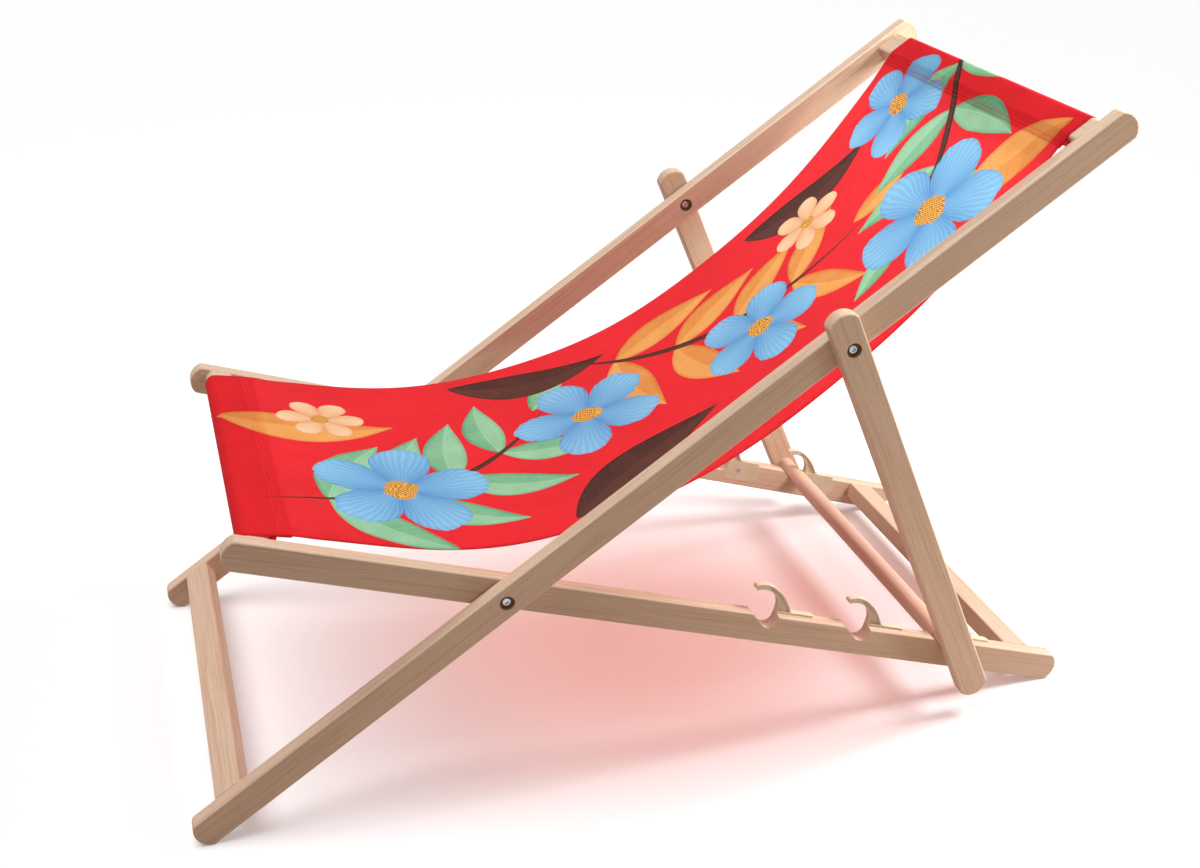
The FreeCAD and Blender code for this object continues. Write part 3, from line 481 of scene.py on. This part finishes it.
class Bar:
    """A bar with a hem: its rail's slope, its place along and above the rail, its edges' radius, how far from
    the bar the hem is sewn, and how wide the sewn strip is."""

    def __init__(self, slope, along, above, edge, seam, strip):
        self.slope, self.along, self.above, self.edge = slope, along, above, edge
        self.seam, self.strip = seam, strip
        self.wrap = edge + CLOTH_GAP + CLOTH / 2

    def edge_at(self, along, above):
        """Centre of the rounding of one edge; along and above are -1 or 1."""
        return on_rail(self.slope, self.along + along * (BAR_WIDTH / 2 - self.edge),
                       self.above + above * (BAR_THICKNESS / 2 - self.edge))

    def beside(self, centre, heading):
        """Where cloth with this heading lies on the rounding about centre, with the bar on its right."""
        return centre + self.wrap * Vector((-math.sin(heading), math.cos(heading)))

    def round_edge(self, centre, from_heading, to_heading):
        """Points round one edge."""
        count = max(2, int(abs(to_heading - from_heading) * self.wrap / EDGE_STEP))
        turns = [from_heading + (to_heading - from_heading) * i / count for i in range(count + 1)]
        return [self.beside(centre, turn) for turn in turns]


FRONT_BAR = Bar(SEAT_ANGLE, -0.277, 0.006, 0.010, 0.030, 0.016)
TOP_BAR = Bar(BACK_ANGLE, 0.823, 0.0, 0.004, 0.007, 0.011)
print("cloth bends round the bars at", [round(bar.wrap, 5) for bar in (FRONT_BAR, TOP_BAR)])


# %% The hanging curve
def stiff(share, reach):
    """A bump that starts from nothing, is 1 at its reach and dies away, as stiff cloth does beside a hem."""
    part = share / reach
    return part * math.exp((1 - part**STIFF_FADE) / STIFF_FADE)


def free_point(y, curve):
    """The point of the free cloth at this Y."""
    a, b, scale, low = curve
    share = min(1.0, max(0.0, (y - a.x) / (b.x - a.x)))
    hanging = a.y + scale * (math.cosh((y - low) / scale) - math.cosh((a.x - low) / scale))
    hollow = SAT_IN * math.sin(math.pi * share**SAT_IN_SKEW)**2
    return Vector((y, hanging + HELD_UP * stiff(share, HELD_UP_AT) - hollow))


def free_heading(y, curve):
    """Slope of the free cloth, from two points close to each other."""
    a, b = curve[:2]
    before = free_point(max(a.x, y - NEARBY), curve)
    after = free_point(min(b.x, y + NEARBY), curve)
    return math.atan2(after.y - before.y, after.x - before.x)


def hang():
    """The free curve from the front bar's front edge to the top bar's lower edge, tangent to both."""
    front, top = FRONT_BAR.edge_at(-1, 1), TOP_BAR.edge_at(-1, 1)
    headings = [SEAT_ANGLE, BACK_ANGLE]
    for _ in range(REFITS):
        a, b = FRONT_BAR.beside(front, headings[0]), TOP_BAR.beside(top, headings[1])
        span, rise = b - a
        want = math.sqrt(((b - a).length + SLACK)**2 - rise**2)
        less, more = span / 20, span * 20
        for _ in range(HALVINGS):
            scale = (less + more) / 2
            if 2 * scale * math.sinh(span / (2 * scale)) > want:
                less = scale
            else:
                more = scale
        low = (a.x + b.x) / 2 - scale * math.asinh(rise / (2 * scale * math.sinh(span / (2 * scale))))
        curve = (a, b, scale, low)
        headings = [free_heading(point.x, curve) for point in (a, b)]
    return curve, headings


curve, headings = hang()
start, end = curve[:2]
print("cloth leaves the bars at", [round(math.degrees(h), 1) for h in headings], "degrees")


# %% The line as points
def under(y):
    """A point on the second layer of cloth, sewn under the free cloth."""
    heading = free_heading(y, curve)
    return free_point(y, curve) + LAYER_GAP * Vector((math.sin(heading), -math.cos(heading)))


def top_hem():
    """Points of the fold over the top bar, sewn under the sling on the bar's front side."""
    edges = [TOP_BAR.edge_at(*corner) for corner in ((-1, 1), (1, 1), (1, -1), (-1, -1))]
    seam_y = end.x - TOP_BAR.seam * math.cos(headings[1])
    seam = under(seam_y)
    turn = BACK_ANGLE
    points = TOP_BAR.round_edge(edges[0], headings[1], turn)
    for edge in edges[1:3]:
        points += TOP_BAR.round_edge(edge, turn, turn - math.pi / 2)
        turn -= math.pi / 2
    rising = turn - math.pi / 4
    for _ in range(HALVINGS):
        away = seam - TOP_BAR.beside(edges[3], rising)
        rising = math.atan2(away.y, away.x) - 2 * math.pi
    points += TOP_BAR.round_edge(edges[3], turn, rising)
    return points + [seam, under(seam_y - TOP_BAR.strip * math.cos(headings[1]))]


def front_hem():
    """Points of the fold round the front bar, from its sewn end to the sling."""
    edges = [FRONT_BAR.edge_at(*corner) for corner in ((1, -1), (-1, -1), (-1, 1))]
    seam_y = start.x + FRONT_BAR.seam * math.cos(headings[0])
    seam = under(seam_y)
    turn = SEAT_ANGLE + math.pi
    falling = turn
    for _ in range(HALVINGS):
        away = FRONT_BAR.beside(edges[0], falling) - seam
        falling = math.atan2(away.y, away.x) + 2 * math.pi
    points = [under(seam_y + FRONT_BAR.strip * math.cos(headings[0])), seam]
    points += FRONT_BAR.round_edge(edges[0], falling, turn)
    points += FRONT_BAR.round_edge(edges[1], turn, turn - math.pi / 2)
    return points + FRONT_BAR.round_edge(edges[2], turn - math.pi / 2, headings[0])


def evenly(points, step):
    """The same line with no run longer than a step, and no repeated points."""
    line = [points[0]]
    for point in points[1:]:
        run = (point - line[-1]).length
        if run < SAME:
            continue
        parts = max(1, math.ceil(run / step - SAME))
        first = line[-1]
        line += [first.lerp(point, i / parts) for i in range(1, parts + 1)]
    return line


count = int((end.x - start.x) / STEP)
free_points = [free_point(start.x + (end.x - start.x) * i / count, curve) for i in range(1, count)]
line = evenly(front_hem() + free_points + top_hem(), STEP)
lengths = [0.0]
for before, after in zip(line, line[1:]):
    lengths.append(lengths[-1] + (after - before).length)
cut_length = lengths[-1]
front_end = next(along for point, along in zip(line, lengths) if (point - start).length < SAME)
top_end = next(along for point, along in zip(line, lengths) if (point - end).length < SAME)
print("line of", len(line), "points,", round(cut_length, 4), "m long")
print("free from", round(front_end, 3), "to", round(top_end, 3), "m along it")

# %% [markdown]
# ## The cloth
# The line is swept across the width as a grid of faces. Real canvas is never quite flat: it puckers a little
# where it leaves the bars, its cut edges curl, it draws in under the top hem, where the pull is strongest,
# and it has stretched unevenly, so one side hangs lower. Cloth simulation could give this, but on a sling
# that only hangs between two straight bars it changes almost nothing else, so these few millimetres are moved
# in code, which is exact and gives the same cloth each run. Solidify then gives the sheet its thickness, and
# its inner side takes the second material, the unprinted reverse.

# %% Sling mesh
COLUMNS = 72
HEM_REACH = 0.03                             # run beside a hem over which the unevenness starts
PUCKER, PUCKER_REACH = 0.0011, 0.11          # height, and how fast it dies away from the hem
PUCKER_WIDTHS = (0.071, 0.043)               # of two trains of waves across the cloth
CURL, CURL_REACH, CURL_LENGTH = 0.0016, 0.016, 0.29         # depth, run from the cut edge, wave along it
SWELL, SWELL_WIDTH, SWELL_LENGTH = 0.0022, 0.52, 0.83       # height, and the wave across and along
STRETCHED, STRETCHED_AT, STRETCHED_SPREAD = 0.0043, 0.29, 0.157     # drop of the left side, share of the span


def off_plane(x, along):
    """How far the cloth stands off its line at a place, in metres, and how far it hangs lower there."""
    from_front = along - front_end - FRONT_BAR.seam - FRONT_BAR.strip
    from_top = top_end - along - TOP_BAR.seam - TOP_BAR.strip
    free = min(from_front, from_top)
    if free <= 0:
        return 0.0, 0.0
    rise = min(1.0, free / HEM_REACH)
    rise = rise * rise * (3 - 2 * rise)
    wide, narrow = (2 * math.pi * x / width for width in PUCKER_WIDTHS)
    waves = math.sin(wide + 1.3) + 0.6 * math.sin(narrow + 4.0 * along)
    pucker = PUCKER * waves * math.exp(-free / PUCKER_REACH)
    slanting = math.sin(2 * math.pi * (x / SWELL_WIDTH + along / SWELL_LENGTH))
    swell = SWELL * slanting * math.sin(math.pi * along / cut_length)
    from_edge = SLING_WIDTH / 2 - abs(x)
    uneven = 1 + 0.5 * math.sin(2 * math.pi * along / CURL_LENGTH)
    curl = -CURL * math.exp(-from_edge / CURL_REACH) * uneven
    share = (along - front_end) / (top_end - front_end)
    lower = STRETCHED * math.exp(-((share - STRETCHED_AT) / STRETCHED_SPREAD)**2)
    return rise * (pucker + swell + curl), rise * lower * 2 * x / SLING_WIDTH


def line_normal(i):
    """Outward normal of the line, up on the free part."""
    run = line[min(i + 1, len(line) - 1)] - line[max(i - 1, 0)]
    return Vector((-run.y, run.x)).normalized()


vertices, places = [], []
for i, (point, along) in enumerate(zip(line, lengths)):
    normal = line_normal(i)
    from_top = 1 - (point.x - start.x) / (end.x - start.x)
    drawn_in = 1 - NECK * stiff(max(0.0, from_top), NECK_AT)
    for j in range(COLUMNS + 1):
        x = SLING_WIDTH * (j / COLUMNS - 0.5)
        off, lower = off_plane(x, along)
        moved = point + normal * off
        vertices.append((x * drawn_in + SLING_ASIDE, moved.x, moved.y - lower))
        places.append((along, x + SLING_WIDTH / 2))
row = COLUMNS + 1
faces = [(i * row + j, i * row + j + 1, (i + 1) * row + j + 1, (i + 1) * row + j)
         for i in range(len(line) - 1) for j in range(COLUMNS)]
cloth_mesh = bpy.data.meshes.new("sling_cloth")
cloth_mesh.from_pydata(vertices, [], faces)
cloth_map = cloth_mesh.uv_layers.new(name="cloth")
for loop in cloth_mesh.loops:
    cloth_map.data[loop.index].uv = places[loop.vertex_index]
cloth_mesh.shade_smooth()
sling = bpy.data.objects.new("sling_cloth", cloth_mesh)
scene.collection.objects.link(sling)
print("sling grid", len(vertices), "points")

# %% [markdown]
# ## Canvas and its print
# The cloth is a thin red canvas with a bold garden print in mint, denim blue, dark brown and orange. The
# print lies on the cloth's own map, in metres along and across it, so it follows the sling round the bars.
# Leaves and flowers are drawn by two groups: each takes the colour so far, draws one shape on it and passes
# it on, the way a screen printer lays one colour over another.

# %% Weave group
SLUB_ALONG, SLUB_ACROSS = (60.0, 1400.0, 1.0), (1400.0, 60.0, 1.0)

weave_group, given, gives = shader_group(
    "canvas_weave", {"Vector": "vector", "Pitch": "number"}, {"Height": "number", "Shade": "number"})
tree = weave_group
axes = add(tree, "ShaderNodeSeparateXYZ", {"Vector": given["Vector"]}).outputs
turns = calc(tree, "DIVIDE", 2 * math.pi, given["Pitch"])
warp = calc(tree, "SINE", calc(tree, "MULTIPLY", axes["X"], turns))
weft = calc(tree, "SINE", calc(tree, "MULTIPLY", axes["Y"], turns))
slub = calc(tree, "ADD", noise(tree, given["Vector"], SLUB_ALONG), noise(tree, given["Vector"], SLUB_ACROSS))
feed(tree, gives["Height"], calc(tree, "ADD", calc(tree, "MULTIPLY", warp, weft), slub))
feed(tree, gives["Shade"], ease(tree, slub, 0.6, 1.4, 0.0, 1.0))
print("weave group has", len(tree.nodes), "nodes")

# %% One motif after another
NEXT_TO_NOTHING = (1e-9, 1e-9, 1e-9)


def motif_group(name, own_inputs):
    """A group that draws one motif on the colour under it, with inputs of its own for the motif's shape."""
    inputs = {"Vector": "vector", "Under": "colour", "Wash": "number", "Dark": "colour", "Light": "colour",
              "Place": "vector", "Turn": "number", **own_inputs}
    return shader_group(name, inputs, {"Color": "colour", "Vector": "vector"})


def pass_on(tree, given, gives, drawn):
    """Put out the colour, and the place moved by next to nothing of it, so that the next motif has to wait
    for this one. Worked out all at once, the motifs would need more room than a shader has."""
    waits = add(tree, "ShaderNodeVectorMath", {0: drawn, 1: NEXT_TO_NOTHING, 2: given["Vector"]},
                operation="MULTIPLY_ADD")
    feed(tree, gives["Color"], drawn)
    feed(tree, gives["Vector"], waits.outputs[0])


print("motifs are drawn in turn")

# %% Leaf group
VEIN_SPACING, VEIN_SLANT = 0.013, 0.9        # metres along the rib, and how far back they lean
INK_EDGE = 0.0007                            # run over which a leaf's ink begins

leaf_group, given, gives = motif_group(
    "printed_leaf", {"Length": "number", "Width": "number", "Bend": "number"})
tree = leaf_group
moved = add(tree, "ShaderNodeVectorMath", {0: given["Vector"], 1: given["Place"]}, operation="SUBTRACT")
back = calc(tree, "MULTIPLY", given["Turn"], -1.0)
turned_back = add(tree, "ShaderNodeVectorRotate", {"Vector": moved.outputs[0], "Angle": back},
                  rotation_type="Z_AXIS")
axes = add(tree, "ShaderNodeSeparateXYZ", {"Vector": turned_back.outputs[0]}).outputs
along = calc(tree, "DIVIDE", axes["X"], given["Length"])
held = calc(tree, "MINIMUM", calc(tree, "MAXIMUM", along, 0.0), 1.0)
arch = calc(tree, "MULTIPLY", calc(tree, "MULTIPLY", held, calc(tree, "SUBTRACT", 1.0, held)), 4.0)
mid = calc(tree, "MULTIPLY", calc(tree, "MULTIPLY", arch, given["Bend"]), given["Length"])
aside = calc(tree, "SUBTRACT", axes["Y"], mid)
profile = calc(tree, "SINE", calc(tree, "MULTIPLY", calc(tree, "POWER", held, 0.8), math.pi))
half = calc(tree, "MULTIPLY", calc(tree, "MULTIPLY", profile, given["Width"]), 0.5)
inside = calc(tree, "SUBTRACT", half, calc(tree, "ABSOLUTE", aside))
mask = ease(tree, inside, 0.0, INK_EDGE)
slant = calc(tree, "ADD", axes["X"], calc(tree, "MULTIPLY", calc(tree, "ABSOLUTE", aside), -VEIN_SLANT))
vein_phase = calc(tree, "FRACT", calc(tree, "DIVIDE", slant, VEIN_SPACING))
from_vein = calc(tree, "ABSOLUTE", calc(tree, "SUBTRACT", vein_phase, 0.5))
vein = ease(tree, from_vein, 0.02, 0.10, 0.55, 0.0)
rib = ease(tree, calc(tree, "ABSOLUTE", aside), 0.0004, 0.0018, 1.0, 0.0)
folded = ease(tree, aside, -0.004, 0.004, 0.0, 0.55)
shade = calc(tree, "ADD", calc(tree, "MULTIPLY", given["Wash"], 0.75), calc(tree, "MULTIPLY", folded, 0.6))
shade = calc(tree, "SUBTRACT", shade, ease(tree, inside, 0.0, 0.007, 0.35, 0.0), clamp=True)
ink = tint(tree, shade, given["Dark"], given["Light"])
lines = calc(tree, "MAXIMUM", calc(tree, "MULTIPLY", vein, 0.35), calc(tree, "MULTIPLY", rib, 0.6))
ink = tint(tree, lines, ink, given["Light"])
pass_on(tree, given, gives, tint(tree, mask, given["Under"], ink))
print("leaf group has", len(tree.nodes), "nodes")

# %% Flower group
PETAL_VEINS, VEINS_STRAY = 62.0, 14.0        # lines round the flower, and how far the wash bends them
SEED_WAVES = (1300.0, 1100.0)                # along and across, in radians per metre
SEED_INK = (0.12, 0.04, 0.02, 1)

flower_group, given, gives = motif_group(
    "printed_flower", {"Heart": "colour", "Radius": "number", "Petals": "number"})
tree = flower_group
moved = add(tree, "ShaderNodeVectorMath", {0: given["Vector"], 1: given["Place"]}, operation="SUBTRACT")
axes = add(tree, "ShaderNodeSeparateXYZ", {"Vector": moved.outputs[0]}).outputs
angle = calc(tree, "ADD", calc(tree, "ARCTAN2", axes["Y"], axes["X"]), given["Turn"])
distance = add(tree, "ShaderNodeVectorMath", {0: moved.outputs[0]}, operation="LENGTH").outputs["Value"]
reach = calc(tree, "DIVIDE", distance, given["Radius"])
half_turns = calc(tree, "MULTIPLY", calc(tree, "MULTIPLY", angle, given["Petals"]), 0.5)
petal = calc(tree, "ABSOLUTE", calc(tree, "COSINE", half_turns))
ruffle = calc(tree, "MULTIPLY", calc(tree, "SUBTRACT", given["Wash"], 0.5), 0.22)
lobe = calc(tree, "MULTIPLY", calc(tree, "POWER", petal, 0.55), 0.55)
edge = calc(tree, "ADD", calc(tree, "ADD", 0.42, lobe), ruffle)
inside = calc(tree, "SUBTRACT", edge, reach)
mask = ease(tree, inside, 0.0, 0.012)
stray = calc(tree, "MULTIPLY", given["Wash"], VEINS_STRAY)
veins = calc(tree, "SINE", calc(tree, "ADD", calc(tree, "MULTIPLY", angle, PETAL_VEINS), stray))
shade = calc(tree, "ADD", calc(tree, "MULTIPLY", reach, 0.55), calc(tree, "MULTIPLY", petal, 0.35))
shade = calc(tree, "ADD", shade, calc(tree, "MULTIPLY", veins, 0.13))
shade = calc(tree, "SUBTRACT", shade, ease(tree, inside, 0.0, 0.09, 0.25, 0.0), clamp=True)
ink = tint(tree, shade, given["Dark"], given["Light"])
heart = ease(tree, calc(tree, "ADD", reach, ruffle), 0.17, 0.21, 1.0, 0.0)
speckle = calc(tree, "MULTIPLY", given["Wash"], 40.0)
seeds_along = calc(tree, "SINE", calc(tree, "MULTIPLY_ADD", axes["X"], SEED_WAVES[0], speckle))
seeds_across = calc(tree, "SINE", calc(tree, "MULTIPLY_ADD", axes["Y"], SEED_WAVES[1], speckle))
dots = calc(tree, "MULTIPLY", seeds_along, seeds_across)
seeds = ease(tree, dots, 0.1, 0.5)
ink = tint(tree, heart, ink, tint(tree, seeds, given["Heart"], SEED_INK))
pass_on(tree, given, gives, tint(tree, mask, given["Under"], ink))
print("flower group has", len(tree.nodes), "nodes")

# %% Inks and the plan of the print
RED = (0.860, 0.015, 0.026, 1.0)
INKS = {
    "mint": ((0.090, 0.400, 0.200, 1), (0.400, 0.750, 0.470, 1)),
    "denim": ((0.060, 0.270, 0.620, 1), (0.280, 0.660, 0.930, 1)),
    "bark": ((0.022, 0.007, 0.005, 1), (0.110, 0.036, 0.024, 1)),
    "apricot": ((0.700, 0.210, 0.030, 1), (0.950, 0.500, 0.140, 1)),
    "peach": ((0.800, 0.340, 0.130, 1), (0.980, 0.760, 0.480, 1)),
}
HEART_INK = (0.900, 0.480, 0.080, 1.0)
FIRST_PAIR, PAIRS_SPREAD = 0.16, 0.74        # where on a twig its leaves start, and how much of it they take
LEAF_SLENDER, LEAF_BEND = 0.36, 0.06         # width and bend of a twig's leaf, as shares of its length
LEAVES_SHRINK = 0.35                         # how much smaller they get towards the tip
TIP_AT, TIP_LENGTH, TIP_WIDTH = 0.93, 0.62, 0.22
TWIG_WIDTH = 0.011


def motif(group, ink, place, turn, own):
    """A motif's group and values; place is in metres along and across the cloth, turn in degrees."""
    dark, light = INKS[ink]
    return group, {"Dark": dark, "Light": light, "Place": (*place, 0.0), "Turn": math.radians(turn), **own}


def leaf(ink, place, turn, length, width, bend):
    """One leaf, from its stalk; its bend is a share of its length."""
    return motif(leaf_group, ink, place, turn, {"Length": length, "Width": width, "Bend": bend})


def flower(ink, place, turn, radius, petals):
    """One flower, about its heart."""
    return motif(flower_group, ink, place, turn, {"Heart": HEART_INK, "Radius": radius, "Petals": petals})


def sprig(ink, place, turn, length, bend, pairs, leaf_size, spread):
    """A bent twig with leaves on both sides and one at its tip."""
    motifs = []
    turned = math.radians(turn)
    for i in range(pairs):
        share = FIRST_PAIR + PAIRS_SPREAD * i / pairs
        local = Vector((share * length, bend * length * 4 * share * (1 - share)))
        slope = math.degrees(math.atan(bend * 4 * (1 - 2 * share)))
        spot = Vector(place) + Matrix.Rotation(turned, 2) @ local
        size = leaf_size * (1.0 - LEAVES_SHRINK * share)
        for side in (1, -1):
            leaf_turn = turn + slope + side * spread
            motifs.append(leaf(ink, spot, leaf_turn, size, size * LEAF_SLENDER, LEAF_BEND * side))
    tip = Vector(place) + Matrix.Rotation(turned, 2) @ Vector((length * TIP_AT, 0.0))
    tip_turn = turn - math.degrees(math.atan(4 * bend))
    motifs.append(leaf(ink, tip, tip_turn, leaf_size * TIP_LENGTH, leaf_size * TIP_WIDTH, 0.0))
    motifs.append(leaf("bark", place, turn, length, TWIG_WIDTH, bend))
    return motifs


PRINT = (
    sprig("mint", (0.12, 0.36), -30, 0.46, 0.12, 4, 0.185, 50)
    + sprig("apricot", (0.56, 0.05), 22, 0.47, 0.10, 4, 0.175, 46)
    + sprig("mint", (1.24, 0.10), 140, 0.36, -0.09, 3, 0.165, 48)
    + [leaf("apricot", (0.09, 0.13), 2, 0.22, 0.080, 0.10),
       leaf("bark", (0.47, 0.43), -24, 0.24, 0.075, -0.10),
       leaf("bark", (0.40, 0.03), 10, 0.22, 0.070, 0.10),
       leaf("bark", (0.72, 0.40), 8, 0.23, 0.072, -0.08),
       leaf("bark", (0.86, 0.03), 16, 0.21, 0.068, 0.10),
       leaf("apricot", (1.20, 0.43), 196, 0.20, 0.070, 0.10)]
    + [flower("denim", (0.29, 0.31), 10, 0.112, 5),
       flower("denim", (0.55, 0.20), 35, 0.098, 5),
       flower("denim", (0.79, 0.24), 55, 0.090, 5),
       flower("denim", (1.03, 0.33), 20, 0.108, 5),
       flower("denim", (1.12, 0.10), 5, 0.088, 5),
       flower("peach", (0.22, 0.12), 0, 0.058, 6),
       flower("peach", (0.93, 0.12), 0, 0.055, 6)])
print(len(PRINT), "motifs in the print")

# %% Printed canvas and its reverse
PRINT_THROUGH, REVERSE_THROUGH = 0.35, 0.88  # share of the light that each side lets through
REVERSE_RED = (0.720, 0.040, 0.040, 1.0)
UNDYED = (0.970, 0.950, 0.950, 1.0)
THINNED = 0.03                               # how much paler the print is in the light that comes through
WEAVE_PITCH = 0.0009
SLUB_RED, SLUB_SHOWS = (0.95, 0.30, 0.26, 1), 0.05
WASH_SCALE, WORN_SCALE = (26.0, 26.0, 26.0), (7.0, 7.0, 7.0)
WORN = 0.90                                  # the base colour's brightness where it is worn


def make_canvas(name, base, motifs, through, dye=None):
    """Canvas of one colour with motifs printed on it, thin enough to let light through; the dye colours that
    light, and is the print itself, a little paler, if none is given."""
    material, tree, surface = new_material(name)
    cloth_place = add(tree, "ShaderNodeUVMap", uv_map="cloth").outputs[0]
    wash = noise(tree, cloth_place, WASH_SCALE, 3.0)
    weave = fill_group(tree, weave_group, {"Vector": cloth_place, "Pitch": WEAVE_PITCH})
    worn = noise(tree, cloth_place, WORN_SCALE, 2.0)
    colour = tint(tree, ease(tree, worn, 0.3, 0.7), base, [WORN * c for c in base[:3]] + [1.0])
    spot = cloth_place
    for group, values in motifs:
        colour, spot = fill_group(tree, group, {"Vector": spot, "Under": colour, "Wash": wash, **values})
    colour = tint(tree, calc(tree, "MULTIPLY", weave["Shade"], SLUB_SHOWS), colour, SLUB_RED)
    fill(tree, surface, {
        "Base Color": colour,
        "Roughness": ease(tree, weave["Shade"], 0.0, 1.0, 0.82, 0.68),
        "Specular IOR Level": 0.12,
        "Normal": bump(tree, weave["Height"], 0.2, 0.0002),
        "Sheen Weight": 0.02})
    glow = add(tree, "ShaderNodeBsdfTranslucent", {"Color": dye or tint(tree, THINNED, colour, UNDYED)})
    both = add(tree, "ShaderNodeMixShader", {0: through, 1: surface.outputs[0], 2: glow.outputs[0]})
    feed(tree, tree.nodes["Material Output"].inputs["Surface"], both.outputs[0])
    return material


def keep_modified(piece):
    """Make what a piece's modifiers give into its own mesh."""
    mesh = bpy.data.meshes.new_from_object(piece.evaluated_get(bpy.context.evaluated_depsgraph_get()))
    piece.modifiers.clear()
    piece.data = mesh
    mesh.name = piece.name
    return mesh


canvas = [make_canvas("canvas_print", RED, PRINT, PRINT_THROUGH),
          make_canvas("canvas_reverse", REVERSE_RED, [], REVERSE_THROUGH, UNDYED)]
for material in canvas:
    cloth_mesh.materials.append(material)
thicken = sling.modifiers.new("thickness", "SOLIDIFY")
thicken.thickness = CLOTH
thicken.offset = 0.0
thicken.material_offset = 1
thicken.material_offset_rim = 0
print("sling has", len(keep_modified(sling).polygons), "faces")

# %% [markdown]
# ## Stitches
# Each hem is closed by two rows of lockstitch in red thread, seen on both sides of the cloth. A stitch is a
# tiny bead of thread, and there are hundreds in a row, so Geometry Nodes place them: a line of points, one
# bead on each, then a copy of the row beside it. The tree's inputs are the sizes that a sewer would set.

# %% Thread
THREAD_DEEP, THREAD_PALE = (0.74, 0.020, 0.025, 1), (0.90, 0.045, 0.050, 1)
TWIST_SCALE = (2600.0, 900.0, 900.0)

thread, tree, surface = new_material("sewing_thread")
where = add(tree, "ShaderNodeTexCoord").outputs["Object"]
twist = noise(tree, where, TWIST_SCALE)
fill(tree, surface, {
    "Base Color": tint(tree, ease(tree, twist, 0.3, 0.7), THREAD_DEEP, THREAD_PALE),
    "Roughness": ease(tree, twist, 0.2, 0.8, 0.5, 0.75)})
print("thread has", len(tree.nodes), "nodes")

# %% Stitch tree
stitch_tree = bpy.data.node_groups.new("stitch_rows", "GeometryNodeTree")
sizes = {}
for label, kind in (("Count", "NodeSocketInt"), ("Start", "NodeSocketVector"), ("Pitch", "NodeSocketFloat"),
                    ("Row Offset", "NodeSocketVector"), ("Length", "NodeSocketFloat"),
                    ("Thickness", "NodeSocketFloat"), ("Thread", "NodeSocketMaterial")):
    sizes[label] = stitch_tree.interface.new_socket(label, in_out="INPUT", socket_type=kind).identifier
stitch_tree.interface.new_socket("Geometry", in_out="OUTPUT", socket_type="NodeSocketGeometry")
asked = stitch_tree.nodes.new("NodeGroupInput").outputs
tree = stitch_tree
spacing = add(tree, "ShaderNodeCombineXYZ", {"X": asked["Pitch"]})
points = add(tree, "GeometryNodeMeshLine", {"Count": asked["Count"], "Start Location": asked["Start"],
                                            "Offset": spacing.outputs[0]})
bead = add(tree, "GeometryNodeMeshUVSphere", {"Segments": 6, "Rings": 5, "Radius": 0.5})
shape = add(tree, "ShaderNodeCombineXYZ", {"X": asked["Length"], "Y": asked["Thickness"],
                                           "Z": asked["Thickness"]})
row_of = add(tree, "GeometryNodeInstanceOnPoints", {"Points": points.outputs[0], "Instance": bead.outputs[0],
                                                    "Scale": shape.outputs[0]})
second = add(tree, "GeometryNodeTransform", {"Geometry": row_of.outputs[0],
                                             "Translation": asked["Row Offset"]})
joined = add(tree, "GeometryNodeJoinGeometry")
feed(tree, joined.inputs[0], row_of.outputs[0])
feed(tree, joined.inputs[0], second.outputs[0])
real = add(tree, "GeometryNodeRealizeInstances", {"Geometry": joined.outputs[0]})
painted = add(tree, "GeometryNodeSetMaterial", {"Geometry": real.outputs[0], "Material": asked["Thread"]})
feed(tree, stitch_tree.nodes.new("NodeGroupOutput").inputs[0], painted.outputs[0])
print("stitch tree has", len(tree.nodes), "nodes")

# %% Stitch rows on both hems
STITCH_PITCH, STITCH_LENGTH, STITCH_THICKNESS = 0.0034, 0.0028, 0.0006
ROW_FROM_SEAM = 0.003
ROW_GAP = 0.005
EDGE_MARGIN = 0.006


def sew(name, from_bar, heading, side):
    """Two rows of stitches on one side of a hem, as a mesh object."""
    along = Vector((math.cos(heading), math.sin(heading)))
    up = Vector((-along.y, along.x))
    sunk = CLOTH / 2 if side > 0 else -LAYER_GAP - CLOTH / 2
    first = from_bar + up * sunk
    count = int((SLING_WIDTH - 2 * EDGE_MARGIN) / STITCH_PITCH) + 1
    piece = bpy.data.objects.new(name, bpy.data.meshes.new(name))
    scene.collection.objects.link(piece)
    rows = piece.modifiers.new("rows", "NODES")
    rows.node_group = stitch_tree
    values = {"Count": count, "Start": (SLING_ASIDE - STITCH_PITCH * (count - 1) / 2, first.x, first.y),
              "Pitch": STITCH_PITCH, "Row Offset": (0.0, ROW_GAP * along.x, ROW_GAP * along.y),
              "Length": STITCH_LENGTH, "Thickness": STITCH_THICKNESS, "Thread": thread}
    for label, value in values.items():
        rows[sizes[label]] = value
    mesh = keep_modified(piece)
    mesh.shade_smooth()
    print(name, count, "stitches a row,", len(mesh.polygons), "faces")
    return piece


front_spot = free_point(start.x + (FRONT_BAR.seam + ROW_FROM_SEAM) * math.cos(headings[0]), curve)
top_spot = free_point(end.x - (TOP_BAR.seam + ROW_FROM_SEAM) * math.cos(headings[1]), curve)
front_heading = free_heading(front_spot.x, curve)
top_heading = free_heading(top_spot.x, curve)
seams = {"seat_frame": [sew("front_hem_stitches", front_spot, front_heading, 1),
                        sew("front_hem_stitches_under", front_spot, front_heading, -1)],
         "back_frame": [sew("top_hem_stitches", top_spot, top_heading + math.pi, -1),
                        sew("top_hem_stitches_under", top_spot, top_heading + math.pi, 1)]}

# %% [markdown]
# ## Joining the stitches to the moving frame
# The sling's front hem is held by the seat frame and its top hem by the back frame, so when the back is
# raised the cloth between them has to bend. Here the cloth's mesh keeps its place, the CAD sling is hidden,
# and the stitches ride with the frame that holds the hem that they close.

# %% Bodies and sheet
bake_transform(sling)
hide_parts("sling")
for body, rows in seams.items():
    for piece in rows:
        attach(piece, body)
